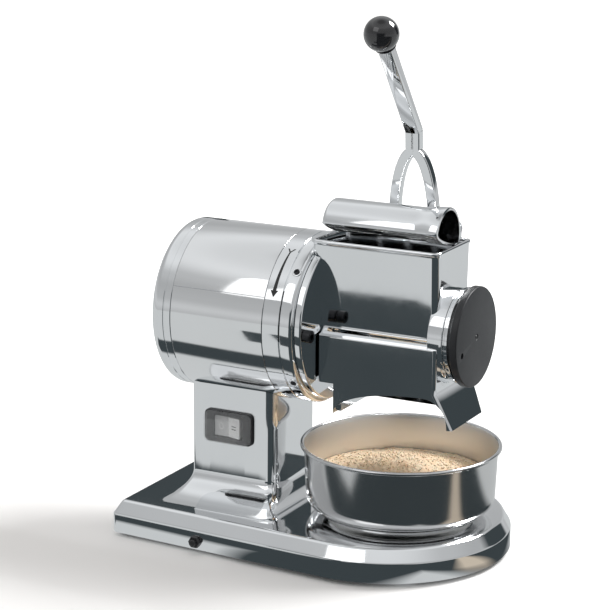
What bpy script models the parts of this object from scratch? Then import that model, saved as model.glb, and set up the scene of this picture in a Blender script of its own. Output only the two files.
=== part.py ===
"""Electric rotary cheese grater: motor barrel on a pedestal, grater head, presser lever and bowl.

Metres, +Z up. The drum axis runs along +X, the user stands at -Y, and z = 0 is the floor under the feet.
"""

import math

import bmesh
import bpy
from mathutils import Matrix, Vector

# ---------------------------------------------------------------- driving sizes
GAP = 0.0003                 # clearance between pieces that touch
RUNNING = 0.0001             # radial clearance of the lever on its hinge pin

FOOT_HEIGHT = 0.004
FOOT_RADIUS = 0.013
FOOT_INSET = 0.028           # foot centre to the base's edge

BASE_LENGTH = 0.4145
BASE_END_RADIUS = 0.1382     # round end under the bowl
BASE_LEFT_HALF = 0.124       # half width of the straight end
BASE_CORNER = 0.006
BASE_RIM = 0.023             # height of the upright rim
BASE_BEVEL = 0.0135          # height of the sloped edge above the rim
BASE_BEVEL_INSET = 0.0095
BASE_WALL = 0.005
BOTTOM_PLATE = 0.002

PEDESTAL_LENGTH = 0.103      # along the drum axis
PEDESTAL_HALF = 0.050        # half depth
PEDESTAL_LEFT = 0.061        # base's left end to the pedestal
PEDESTAL_FLARE = 0.053       # how far the foot runs out, front and back
PEDESTAL_SIDE_FLARE = 0.023  # and at the sides
PEDESTAL_FLARE_HEIGHT = 0.026
PEDESTAL_CORNER = 0.004      # left corners
PEDESTAL_ROUND = 0.010       # right corners
PEDESTAL_WALL = 0.005
FOOT_ROUNDING = 0.010        # how much rounder the foot's corners are than the pedestal's

AXIS_HEIGHT = 0.248          # drum and motor axis above the floor
BARREL_RADIUS = 0.0936
BARREL_WALL = 0.005
BARREL_LENGTH = 0.1126
BARREL_OVERHANG = 0.0017     # barrel beyond the pedestal's left side
CAP_LENGTH = 0.027
FRONT_RING_LENGTH = 0.0355
FLANGE_RADIUS = 0.088
FLANGE_THICKNESS = 0.008
FLANGE_BOLT_CIRCLE = 0.0795
BOLT_RADIUS = 0.0068
RING_SCREW_RADIUS = 0.0032
RING_SCREW_RISE = 43.0       # degrees above the axis plane, upper pair
RING_SCREW_DROP = 37.0       # and below it, lower pair
RING_SCREW_INSET = 0.0065    # behind the ring's front face
RING_SCREW_HEIGHT = 0.0018
BOLT_HEIGHT = 0.009
SOCKET_RADIUS = 0.0034

HOPPER_LENGTH = 0.1530       # rim, outside, along the drum axis
HOPPER_DEPTH = 0.0916        # rim, outside, front to back
HOPPER_WALL = 0.0035
HOPPER_RIM = 0.0022          # how far the rolled rim stands out
HOPPER_RISE = 0.0956         # drum axis to the rim's top
HOPPER_OVERHANG = 0.0140     # how far the rim reaches back over the flange's face
HOPPER_LEAN = 0.0040         # draft of the front and back walls
HOPPER_LEFT_LEAN = 0.0050    # draft of the wall next to the motor
CHAMBER_HALF = 0.052         # half depth of the drum chamber
CHAMBER_LENGTH = 0.1385
CHAMBER_GAP = 0.002          # between the flange's face and the chamber
CHAMBER_WALL = 0.004
COVE_RISE = 0.004            # the ledge's top above the axis
COVE_DROP = 0.006            # and its foot below the axis
CHUTE_DROP = 0.091           # drum axis to the chute's lower edge
CHUTE_STEP = 0.019           # how far the chute's lower part is set in from the flange
CHUTE_FLARE = 0.0195         # how far the right wall runs out at the bottom
CHUTE_BACK = 0.032           # the chute's mouth behind the axis
STEP_DROP = 0.058            # drum axis down to the step in the chute
STRAIGHT_DROP = 0.030        # drum axis down to where the back wall starts to slope in
ARCH_RISE = 0.031            # the front arch over the chute's lower edge
ARCH_PEAK = 0.8              # where its top is, as a share of its width

DRUM_CLEARANCE = 0.0016      # drum to the hopper's walls
DRUM_WALL = 0.0016
DRUM_END_PLAY = 0.0015       # drum to the hopper's end wall
DRUM_INSET = 0.007           # chamber's end to the drum
BORE_CLEARANCE = 0.0025      # round the drum, where it is drawn out
SHAFT_RADIUS = 0.009
STUB_RADIUS = 0.006

BOSS_RADIUS = 0.050
BOSS_LENGTH = 0.005
END_RING_LENGTH = 0.0095
COVER_RADIUS = 0.0541
COVER_THICKNESS = 0.0085
LATCH_RADIUS = 0.0032        # small hole in the cover
LATCH_SIDE = 0.038           # in front of the axis
LATCH_DROP = 0.012           # below the axis

PIN_RADIUS = 0.004
PIN_HALF = 0.055             # half the pin's length
PIN_RISE = 0.0080            # hinge pin above the rim's top
PIN_BEHIND = 0.0472          # hinge pin behind the drum axis
PRESSER_END_PLAY = 0.0012    # presser to the hopper's end walls
PRESSER_RADIUS = 0.0315
PRESSER_WALL = 0.004
PRESSER_BELLY = 0.008        # how far the pressing face bulges
PRESSER_TILT = 17.0          # degrees, front edge up, as it rests
PRESSER_REACH = 0.0535       # hinge pin to the presser's middle
PRESSER_LIFT = 0.0060        # presser's middle above the hinge pin
LEVER_SPREAD = 0.0465        # between the two legs
LEVER_RISE = 0.1025          # hinge pin to the fork
LEVER_SET = 0.0060           # fork in front of the hinge pin
LEVER_WINDOW = 0.78          # share of the rise at which the legs' middles meet
LEVER_LEAN = 37.0            # degrees, arm towards the user
LEVER_ARM = 0.1405           # fork to the knob's centre
LEVER_WIDTH = 0.017
LEG_WIDTH = 0.011
KNOB_RADIUS = 0.0185
LEVER_OFFSET = 0.004         # lever's middle beyond the presser's
EYE_RADIUS = 0.0078
EAR_RADIUS = 0.0075
EAR_WIDTH = 0.010
EAR_INSET = 0.007            # pin's end to the ear's middle
EAR_DEPTH = 0.030            # ear's foot below the rim

BOWL_RADIUS = 0.108          # outside, at the rolled rim's centre line
BOWL_HEIGHT = 0.0735
BOWL_FOOT_RADIUS = 0.088
BOWL_WALL = 0.0012
BOWL_BEAD = 0.0022
BOWL_PAD_HEIGHT = 0.005
BOWL_CORNER = 0.018          # between its wall and its floor
BOWL_TAPER = 0.002
BOWL_CLEARANCE = 0.0223      # rim to the pedestal's right side

SWITCH_LENGTH = 0.060
SWITCH_HEIGHT = 0.037
SWITCH_DROP = 0.126          # drum axis down to the switch's centre
SWITCH_LEFT = 0.0475         # pedestal's left side to the switch's centre
SWITCH_CORNER = 0.006
SWITCH_FRAME_DEPTH = 0.003
SWITCH_BODY_DEPTH = 0.028
SWITCH_BODY_WALL = 0.002
ROCKER_LENGTH = 0.034
ROCKER_HEIGHT = 0.023
ROCKER_RISE = 0.0065         # its pivot to the tips of its front
ROCKER_DIP = 0.0022          # depth of the V between the tips
ROCKER_TILT = 8.0            # degrees either way
ROCKER_PLAY = 0.001
ROCKER_PIVOT = 0.004         # behind the pedestal's front
BOOT_DEPTH = 0.017
BUTTON_RADIUS = 0.0062
BUTTON_REACH = 0.0078        # how far the pushed end stands out of the rim
BUTTON_LENGTH = 0.012        # behind the rim
BUTTON_LEFT = 0.1107         # base's left end to the button
BUTTON_RISE = 0.0097         # base's underside to the button
COLLAR_HEIGHT = 0.004

GLAND_RADIUS = 0.008
GLAND_BORE = 0.004
GLAND_LEFT = 0.030           # pedestal's left side to the cable inlet
GLAND_RISE = 0.018           # above the pedestal's foot
SEAT_INSET = 0.004           # barrel's end to the rear bearing plate
BEARING_PLATE = 0.004
BEARING_OUTER = 0.021
BEARING_WIDTH = 0.010
STATOR_INNER = 0.047
ROTOR_AIR_GAP = 0.0006
CORE_REAR = 0.032            # barrel's rear end to the stator
CORE_FRONT = 0.012           # stator to the barrel's front end
WINDING_REACH = 0.012        # the windings behind the stator
FAN_RADIUS = 0.034
FAN_BLADES = 7
CAPACITOR_RADIUS = 0.017
CAPACITOR_HEIGHT = 0.060
CAPACITOR_RIGHT = 0.032      # to the pedestal's right side
CAPACITOR_BEHIND = 0.015
SEAL_RADIUS = 0.018
SEAL_WIDTH = 0.005
BUSH_RADIUS = 0.012

# ---------------------------------------------------------------- places that follow from the sizes
BASE_Z = FOOT_HEIGHT + GAP
BASE_TOP = BASE_Z + BASE_RIM + BASE_BEVEL
BASE_LEFT = -BASE_LENGTH / 2
ROUND_X = BASE_LENGTH / 2 - BASE_END_RADIUS
PEDESTAL_X0 = BASE_LEFT + PEDESTAL_LEFT
PEDESTAL_X1 = PEDESTAL_X0 + PEDESTAL_LENGTH
BOWL_X = PEDESTAL_X1 + BOWL_CLEARANCE + BOWL_RADIUS
BOWL_Z = BASE_TOP + BOWL_PAD_HEIGHT + GAP
BARREL_X0 = PEDESTAL_X0 - BARREL_OVERHANG
BARREL_X1 = BARREL_X0 + BARREL_LENGTH
CAP_X0 = BARREL_X0 - GAP - CAP_LENGTH
RING_X0 = BARREL_X1 + GAP
RING_X1 = RING_X0 + FRONT_RING_LENGTH
FLANGE_X0 = RING_X1 + GAP
FLANGE_X1 = FLANGE_X0 + FLANGE_THICKNESS

CHAMBER_X0 = FLANGE_X1 + CHAMBER_GAP
CHAMBER_X1 = CHAMBER_X0 + CHAMBER_LENGTH
HOPPER_X0 = FLANGE_X1 - HOPPER_OVERHANG
HOPPER_X1 = HOPPER_X0 + HOPPER_LENGTH
HOPPER_TOP = AXIS_HEIGHT + HOPPER_RISE
DRUM_RADIUS = HOPPER_DEPTH / 2 - HOPPER_RIM - HOPPER_LEAN - HOPPER_WALL - DRUM_CLEARANCE
BOSS_X1 = CHAMBER_X1 + BOSS_LENGTH
RING_BORE = DRUM_RADIUS + BORE_CLEARANCE
END_RING_X0 = BOSS_X1 + GAP
END_RING_X1 = END_RING_X0 + END_RING_LENGTH
COVER_X0 = END_RING_X1 + GAP
COVER_X1 = COVER_X0 + COVER_THICKNESS
DRUM_X0 = CHAMBER_X0 + DRUM_INSET
DRUM_X1 = HOPPER_X1 - HOPPER_RIM - HOPPER_WALL - DRUM_END_PLAY
DRUM_LENGTH = DRUM_X1 - DRUM_X0
COVE_TOP = AXIS_HEIGHT + COVE_RISE
COVE_FOOT = AXIS_HEIGHT - COVE_DROP
CHUTE_KNEE = AXIS_HEIGHT - COVER_RADIUS - 0.001
CHUTE_BOTTOM = AXIS_HEIGHT - CHUTE_DROP

PIN_Y = PIN_BEHIND
PIN_Z = HOPPER_TOP + PIN_RISE
PRESSER_X0 = HOPPER_X0 + HOPPER_RIM + HOPPER_WALL + HOPPER_LEFT_LEAN * 0.6 + PRESSER_END_PLAY
PRESSER_X1 = HOPPER_X1 - HOPPER_RIM - HOPPER_WALL - PRESSER_END_PLAY
LEVER_X = (PRESSER_X0 + PRESSER_X1) / 2 + LEVER_OFFSET
SWITCH_X = PEDESTAL_X0 + SWITCH_LEFT
SWITCH_Z = AXIS_HEIGHT - SWITCH_DROP
BUTTON_X = BASE_LEFT + BUTTON_LEFT
BUTTON_Z = BASE_Z + BUTTON_RISE
GLAND_X = PEDESTAL_X0 + GLAND_LEFT
GLAND_Z = BASE_TOP + PEDESTAL_FLARE_HEIGHT + GLAND_RISE
CAPACITOR_X = PEDESTAL_X1 - CAPACITOR_RIGHT

SEAT_X = BARREL_X0 + SEAT_INSET
STATOR_OUTER = BARREL_RADIUS - BARREL_WALL - GAP
ROTOR_RADIUS = STATOR_INNER - ROTOR_AIR_GAP
CORE_X0 = BARREL_X0 + CORE_REAR
CORE_X1 = BARREL_X1 - CORE_FRONT
CORE_LENGTH = CORE_X1 - CORE_X0

# ---------------------------------------------------------------- scene and helpers
for old in list(bpy.data.objects):
    bpy.data.objects.remove(old, do_unlink=True)

PARTS = bpy.data.collections.new("rotary_cheese_grater")
CUTTERS = bpy.data.collections.new("cutters")
for group in (PARTS, CUTTERS):
    bpy.context.scene.collection.children.link(group)


def material(name, colour, roughness, metallic=0.0, alpha=1.0):
    mat = bpy.data.materials.new(name)
    mat.use_nodes = True
    shader = mat.node_tree.nodes["Principled BSDF"]
    shader.inputs["Base Color"].default_value = (*colour, 1.0)
    shader.inputs["Roughness"].default_value = roughness
    shader.inputs["Metallic"].default_value = metallic
    shader.inputs["Alpha"].default_value = alpha
    return mat


POLISHED = material("polished_aluminium", (0.80, 0.81, 0.82), 0.12, 1.0)
STAINLESS = material("stainless_steel", (0.62, 0.62, 0.61), 0.22, 1.0)
STEEL = material("bright_steel", (0.55, 0.56, 0.58), 0.3, 1.0)
BLACK_STEEL = material("black_screws", (0.03, 0.03, 0.03), 0.4, 0.8)
BLACK_PLASTIC = material("black_plastic", (0.035, 0.036, 0.038), 0.45)
GLOSS_BLACK = material("gloss_black", (0.008, 0.008, 0.008), 0.08)
GREY_PLASTIC = material("grey_plastic", (0.5, 0.51, 0.52), 0.4)
SMOKY = material("smoky_boot", (0.35, 0.37, 0.38), 0.2, 0.0, 0.4)
RUBBER = material("rubber", (0.02, 0.02, 0.02), 0.8)
COPPER = material("copper_windings", (0.55, 0.22, 0.09), 0.4, 1.0)
IRON = material("laminations", (0.22, 0.22, 0.23), 0.5, 1.0)


def add(name, mesh, mat, group=PARTS):
    obj = bpy.data.objects.new(name, mesh)
    mesh.name = name
    mesh.materials.clear()
    mesh.materials.append(mat)
    group.objects.link(obj)
    if group is CUTTERS:
        obj.hide_render = True
        obj.display_type = "WIRE"
    return obj


def mesh_from(bm, name):
    bmesh.ops.recalc_face_normals(bm, faces=bm.faces)
    mesh = bpy.data.meshes.new(name)
    bm.to_mesh(mesh)
    bm.free()
    return mesh


def smooth(obj, degrees=35.0):
    obj.data.shade_smooth()
    obj.data.set_sharp_from_angle(angle=math.radians(degrees))
    return obj


def box(name, low, high, mat=STEEL, group=PARTS):
    """A block between two corners, with its origin at its middle."""
    low = Vector(low)
    high = Vector(high)
    bm = bmesh.new()
    bmesh.ops.create_cube(bm, size=1.0)
    bmesh.ops.scale(bm, vec=high - low, verts=bm.verts)
    obj = add(name, mesh_from(bm, name), mat, group)
    obj.location = (low + high) / 2
    return obj


def cylinder(name, radius, start, end, mat=STEEL, group=PARTS, sides=32, radius_end=None):
    """A round bar or cone from one point to another."""
    start = Vector(start)
    along = Vector(end) - start
    bm = bmesh.new()
    bmesh.ops.create_cone(
        bm,
        cap_ends=True,
        segments=sides,
        radius1=radius,
        radius2=radius if radius_end is None else radius_end,
        depth=along.length,
    )
    obj = add(name, mesh_from(bm, name), mat, group)
    obj.location = start + along / 2
    obj.rotation_euler = along.to_track_quat("Z", "Y").to_euler()
    return smooth(obj)


def turned(name, profile, mat, location, axis="Z", steps=48, group=PARTS):
    """A profile of (radius, height) points, listed down its outer side, turned about Z or X.

    The line closes on itself, save across the axis where two points that follow each other lie on it.
    """
    mesh = bpy.data.meshes.new(name)
    count = len(profile)
    edges = [
        (i, (i + 1) % count)
        for i in range(count)
        if profile[i][0] > 1e-6 or profile[(i + 1) % count][0] > 1e-6
    ]
    mesh.from_pydata([(r, 0.0, h) for r, h in profile], edges, [])
    obj = add(name, mesh, mat, group)
    obj.location = location
    if axis == "X":
        obj.rotation_euler = (0.0, math.pi / 2, 0.0)
    screw = obj.modifiers.new("turn", "SCREW")
    screw.angle = math.tau
    screw.steps = steps
    screw.render_steps = steps
    screw.use_merge_vertices = True
    screw.merge_threshold = 0.00001
    screw.use_smooth_shade = True
    return obj


def loft(name, sections, mat, group=PARTS):
    """A closed solid through rings of 3-D points, each ring with the same number of points."""
    bm = bmesh.new()
    rings = [[bm.verts.new(point) for point in section] for section in sections]
    count = len(rings[0])
    for lower, upper in zip(rings, rings[1:]):
        for i in range(count):
            j = (i + 1) % count
            bm.faces.new((lower[i], lower[j], upper[j], upper[i]))
    bm.faces.new(list(reversed(rings[0])))
    bm.faces.new(rings[-1])
    return smooth(add(name, mesh_from(bm, name), mat, group), 30.0)


def cut(obj, cutter, operation="DIFFERENCE"):
    boolean = obj.modifiers.new(cutter.name, "BOOLEAN")
    boolean.operation = operation
    boolean.solver = "EXACT"
    boolean.object = cutter
    return obj


def join(obj, other):
    return cut(obj, other, "UNION")


def rounded(obj, width, segments=2, angle=30.0):
    bevel = obj.modifiers.new("edges", "BEVEL")
    bevel.width = width
    bevel.segments = segments
    bevel.limit_method = "ANGLE"
    bevel.angle_limit = math.radians(angle)
    return obj


def arc(centre, radius, start, end, count):
    """Points on an arc, angles in degrees."""
    points = []
    for i in range(count + 1):
        a = math.radians(start + (end - start) * i / count)
        points.append((centre[0] + radius * math.cos(a), centre[1] + radius * math.sin(a)))
    return points


def rounded_rectangle(x0, x1, y0, y1, radius, count=4, left_radius=None):
    """Corner points of a rectangle with round corners, anticlockwise from the +X +Y corner."""
    left = radius if left_radius is None else left_radius
    corners = ((x1, y1, 0, radius), (x0, y1, 90, left), (x0, y0, 180, left), (x1, y0, 270, radius))
    points = []
    for x, y, start, r in corners:
        cx = x - r if x == x1 else x + r
        cy = y - r if y == y1 else y + r
        points += arc((cx, cy), r, start, start + 90, count)
    return points


def at_height(points, z):
    return [(x, y, z) for x, y in points]


def pivot(name, location):
    """An empty on a joint's axis, for the moving pieces to hang from."""
    empty = bpy.data.objects.new(name, None)
    empty.location = location
    PARTS.objects.link(empty)
    return empty


def hang(obj, parent):
    """Parent a piece without moving it."""
    bpy.context.view_layer.update()
    obj.parent = parent
    obj.matrix_parent_inverse = Matrix.Translation(parent.location).inverted()
    return obj


# ---------------------------------------------------------------- base and pedestal
def side_lean():
    """The angle between the base's long sides and the drum axis."""
    corner = Vector((BASE_LEFT - ROUND_X, BASE_LEFT_HALF))
    return math.atan2(-corner.x, corner.y) - math.acos(BASE_END_RADIUS / corner.length)


def side_y(x, inset=0.0):
    """Half the base's depth at x, where its sides are straight."""
    lean = side_lean()
    return (BASE_END_RADIUS - inset + (x - ROUND_X) * math.sin(lean)) / math.cos(lean)


def base_outline(inset):
    """The base's plan: a straight left end, sides that meet the round right end, and that round end."""
    lean = side_lean()
    radius = BASE_END_RADIUS - inset
    x0 = BASE_LEFT + inset
    y_left = side_y(x0, inset)
    small = max(BASE_CORNER - inset * 0.5, 0.003)
    end = math.degrees(lean)
    points = arc((ROUND_X, 0.0), radius, -90 - end, 90 + end, 40)
    points += arc((x0 + small, y_left - small), small, 90 + end, 180, 4)
    points += arc((x0 + small, small - y_left), small, 180, 270 - end, 4)
    return points


def flare(height):
    """The share of the foot's run-out that is left at a height above the base's top."""
    down = 1 - min(height / PEDESTAL_FLARE_HEIGHT, 1.0)
    return 1 - math.sqrt(1 - down**2)


def pedestal_section(share, z, inset=0.0):
    """A pedestal section with a share of the foot's run-out."""
    half = PEDESTAL_HALF + PEDESTAL_FLARE * share - inset
    side = PEDESTAL_SIDE_FLARE * share - inset
    x0 = PEDESTAL_X0 - side
    x1 = PEDESTAL_X1 + side
    grow = FOOT_ROUNDING * share
    points = rounded_rectangle(x0, x1, -half, half, PEDESTAL_ROUND + grow, 4, PEDESTAL_CORNER + grow)
    return at_height(points, z)


def make_base():
    levels = (
        (0.0015, BASE_Z),
        (0.0, BASE_Z + 0.0015),
        (0.0, BASE_Z + BASE_RIM - 0.0015),
        (0.0008, BASE_Z + BASE_RIM),
        (BASE_BEVEL_INSET - 0.001, BASE_TOP - 0.0012),
        (BASE_BEVEL_INSET + 0.001, BASE_TOP),
    )
    base = loft("base_casting", [at_height(base_outline(i), z) for i, z in levels], POLISHED)

    pad = turned(
        "bowl_pad",
        [
            (0.0, BOWL_PAD_HEIGHT),
            (BOWL_FOOT_RADIUS - 0.008, BOWL_PAD_HEIGHT),
            (BOWL_FOOT_RADIUS - 0.005, BOWL_PAD_HEIGHT - 0.003),
            (BOWL_FOOT_RADIUS - 0.005, -0.002),
            (0.0, -0.002),
        ],
        POLISHED,
        (BOWL_X, 0.0, BASE_TOP),
        group=CUTTERS,
    )
    join(base, pad)

    turns = [math.radians(a) for a in (8, 20, 32, 44, 56, 68, 79, 90)]
    heights = [PEDESTAL_FLARE_HEIGHT * (1 - math.cos(a)) for a in turns]
    sections = [pedestal_section(flare(heights[0]), BASE_TOP - 0.001)]
    sections += [pedestal_section(flare(h), BASE_TOP + h) for h in heights]
    sections.append(pedestal_section(0.0, AXIS_HEIGHT - BARREL_RADIUS * 0.6))
    join(base, loft("pedestal", sections, POLISHED, CUTTERS))

    barrel_space = cylinder(
        "barrel_space",
        BARREL_RADIUS + GAP,
        (CAP_X0 - BASE_LENGTH, 0.0, AXIS_HEIGHT),
        (RING_X1 + BASE_LENGTH, 0.0, AXIS_HEIGHT),
        group=CUTTERS,
        sides=96,
    )
    cut(base, barrel_space)

    hollow_levels = ((BASE_WALL, BASE_Z - 0.002), (BASE_WALL + 0.006, BASE_TOP - BASE_WALL))
    cut(base, loft(
        "base_hollow",
        [at_height(base_outline(inset), z) for inset, z in hollow_levels],
        STEEL,
        CUTTERS,
    ))
    top = AXIS_HEIGHT - BARREL_RADIUS - PEDESTAL_WALL
    pedestal_hollow = loft(
        "pedestal_hollow",
        [pedestal_section(0.0, z, PEDESTAL_WALL) for z in (BASE_TOP - 2 * BASE_WALL, top)],
        STEEL,
        CUTTERS,
    )
    cut(base, pedestal_hollow)

    cut(base, around_switch("switch_hole", 2 * ROCKER_PLAY + SWITCH_BODY_WALL, -0.01, 0.02, CUTTERS))
    cut(base, cylinder(
        "gland_hole",
        GLAND_RADIUS + GAP,
        (GLAND_X, PEDESTAL_HALF - 0.02, GLAND_Z),
        (GLAND_X, PEDESTAL_HALF + 0.02, GLAND_Z),
        group=CUTTERS,
    ))
    cut(base, cylinder(
        "button_hole",
        BUTTON_RADIUS - 0.001 + GAP,
        (BUTTON_X, -side_y(BUTTON_X) - 0.01, BUTTON_Z),
        (BUTTON_X, -side_y(BUTTON_X) + BUTTON_LENGTH, BUTTON_Z),
        group=CUTTERS,
        sides=24,
    ))
    return base


def make_underside():
    z0 = BASE_Z
    loft(
        "bottom_plate",
        [at_height(base_outline(BASE_WALL + GAP + 0.0007), z) for z in (z0, z0 + BOTTOM_PLATE)],
        STEEL,
    )
    corner_y = BASE_LEFT_HALF - FOOT_INSET
    places = {
        "foot_left_front": (BASE_LEFT + FOOT_INSET, -corner_y),
        "foot_left_back": (BASE_LEFT + FOOT_INSET, corner_y),
    }
    reach = BASE_END_RADIUS - FOOT_INSET
    for name, side in (("foot_right_front", -1), ("foot_right_back", 1)):
        places[name] = (ROUND_X + reach * 0.6, side * reach * 0.8)
    for name, (x, y) in places.items():
        turned(
            name,
            [
                (0.0, FOOT_HEIGHT),
                (FOOT_RADIUS, FOOT_HEIGHT),
                (FOOT_RADIUS - 0.0015, 0.0),
                (0.0, 0.0),
            ],
            RUBBER,
            (x, y, 0.0),
            steps=16,
        )


def around_switch(name, room, start, end, group=PARTS):
    """A block round the rocker, with room at its sides, between two depths from the pedestal's front."""
    half_x = ROCKER_LENGTH / 2 + room
    half_z = ROCKER_HEIGHT / 2 + room
    low = (SWITCH_X - half_x, start - PEDESTAL_HALF, SWITCH_Z - half_z)
    high = (SWITCH_X + half_x, end - PEDESTAL_HALF, SWITCH_Z + half_z)
    return box(name, low, high, BLACK_PLASTIC, group)


def make_switch():
    front = -PEDESTAL_HALF - GAP
    half_length = SWITCH_LENGTH / 2
    half_height = SWITCH_HEIGHT / 2
    outer = rounded_rectangle(-half_length, half_length, -half_height, half_height, SWITCH_CORNER, 3)

    def upright(points, y, shrink=1.0):
        return [(SWITCH_X + x * shrink, y, SWITCH_Z + z * shrink) for x, z in points]

    frame_front = front - SWITCH_FRAME_DEPTH
    frame = loft("switch_frame", [upright(outer, front), upright(outer, frame_front)], BLACK_PLASTIC)
    cut(frame, around_switch("rocker_window", ROCKER_PLAY, -0.02, 0.02, CUTTERS))
    body = around_switch("switch_body", ROCKER_PLAY + SWITCH_BODY_WALL, GAP, SWITCH_BODY_DEPTH)
    cut(body, around_switch("rocker_well", ROCKER_PLAY, -0.02, SWITCH_BODY_DEPTH / 2, CUTTERS))

    # The rocker turns about an upright pivot, and its front is a shallow V.
    plan = [
        (-ROCKER_LENGTH / 2, -ROCKER_RISE),
        (0.0, ROCKER_DIP - ROCKER_RISE),
        (ROCKER_LENGTH / 2, -ROCKER_RISE),
        (ROCKER_LENGTH / 2 - 0.003, 0.003),
        (0.0, 0.006),
        (0.003 - ROCKER_LENGTH / 2, 0.003),
    ]
    rocker = loft(
        "switch_rocker",
        [[(x, y, z) for x, y in plan] for z in (-ROCKER_HEIGHT / 2, ROCKER_HEIGHT / 2)],
        GREY_PLASTIC,
    )
    rocker.location = (SWITCH_X, front + ROCKER_PIVOT, SWITCH_Z)
    rocker.rotation_euler = (0.0, 0.0, math.radians(-ROCKER_TILT))
    rounded(rocker, 0.0005, 1)

    seat = frame_front - GAP
    levels = ((0.0, 0.95), (0.3, 0.93), (0.75, 0.78), (1.0, 0.70))
    boot = loft(
        "switch_boot",
        [upright(outer, seat - BOOT_DEPTH * t, s) for t, s in levels],
        SMOKY,
    )
    cut(boot, loft(
        "boot_space",
        [upright(outer, seat + 0.002 - (BOOT_DEPTH + 0.0005) * t, s * 0.93) for t, s in levels],
        SMOKY,
        CUTTERS,
    ))


def make_button():
    place = (BUTTON_X, -side_y(BUTTON_X) - GAP, BUTTON_Z)
    collar = turned(
        "reset_collar",
        [
            (BUTTON_RADIUS + 0.0018, COLLAR_HEIGHT),
            (BUTTON_RADIUS + 0.0024, 0.0),
            (BUTTON_RADIUS - 0.0015, 0.0),
            (BUTTON_RADIUS - 0.0015, COLLAR_HEIGHT),
        ],
        BLACK_PLASTIC,
        place,
        steps=6,
    )
    collar.rotation_euler = (math.pi / 2, 0.0, 0.0)
    button = turned(
        "reset_button",
        [
            (0.0, BUTTON_REACH),
            (BUTTON_RADIUS - 0.0035, BUTTON_REACH - 0.0002),
            (BUTTON_RADIUS - 0.0022, BUTTON_REACH - 0.0015),
            (BUTTON_RADIUS - 0.0022, -BUTTON_LENGTH),
            (0.0, -BUTTON_LENGTH),
        ],
        BLACK_PLASTIC,
        place,
        steps=24,
    )
    button.rotation_euler = (math.pi / 2, 0.0, 0.0)


def make_gland():
    """The cable inlet: a nut outside, a threaded neck through the wall and an open bore."""
    gland = turned(
        "cable_gland",
        [
            (0.0075, 0.016),
            (0.010, 0.013),
            (0.011, 0.011),
            (0.011, GAP),
            (GLAND_RADIUS, GAP),
            (GLAND_RADIUS, -0.012),
            (GLAND_BORE, -0.012),
            (GLAND_BORE, 0.016),
        ],
        BLACK_PLASTIC,
        (GLAND_X, PEDESTAL_HALF, GLAND_Z),
        steps=24,
    )
    gland.rotation_euler = (-math.pi / 2, 0.0, 0.0)


# ---------------------------------------------------------------- motor
def on_axis(x):
    return (x, 0.0, AXIS_HEIGHT)


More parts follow.
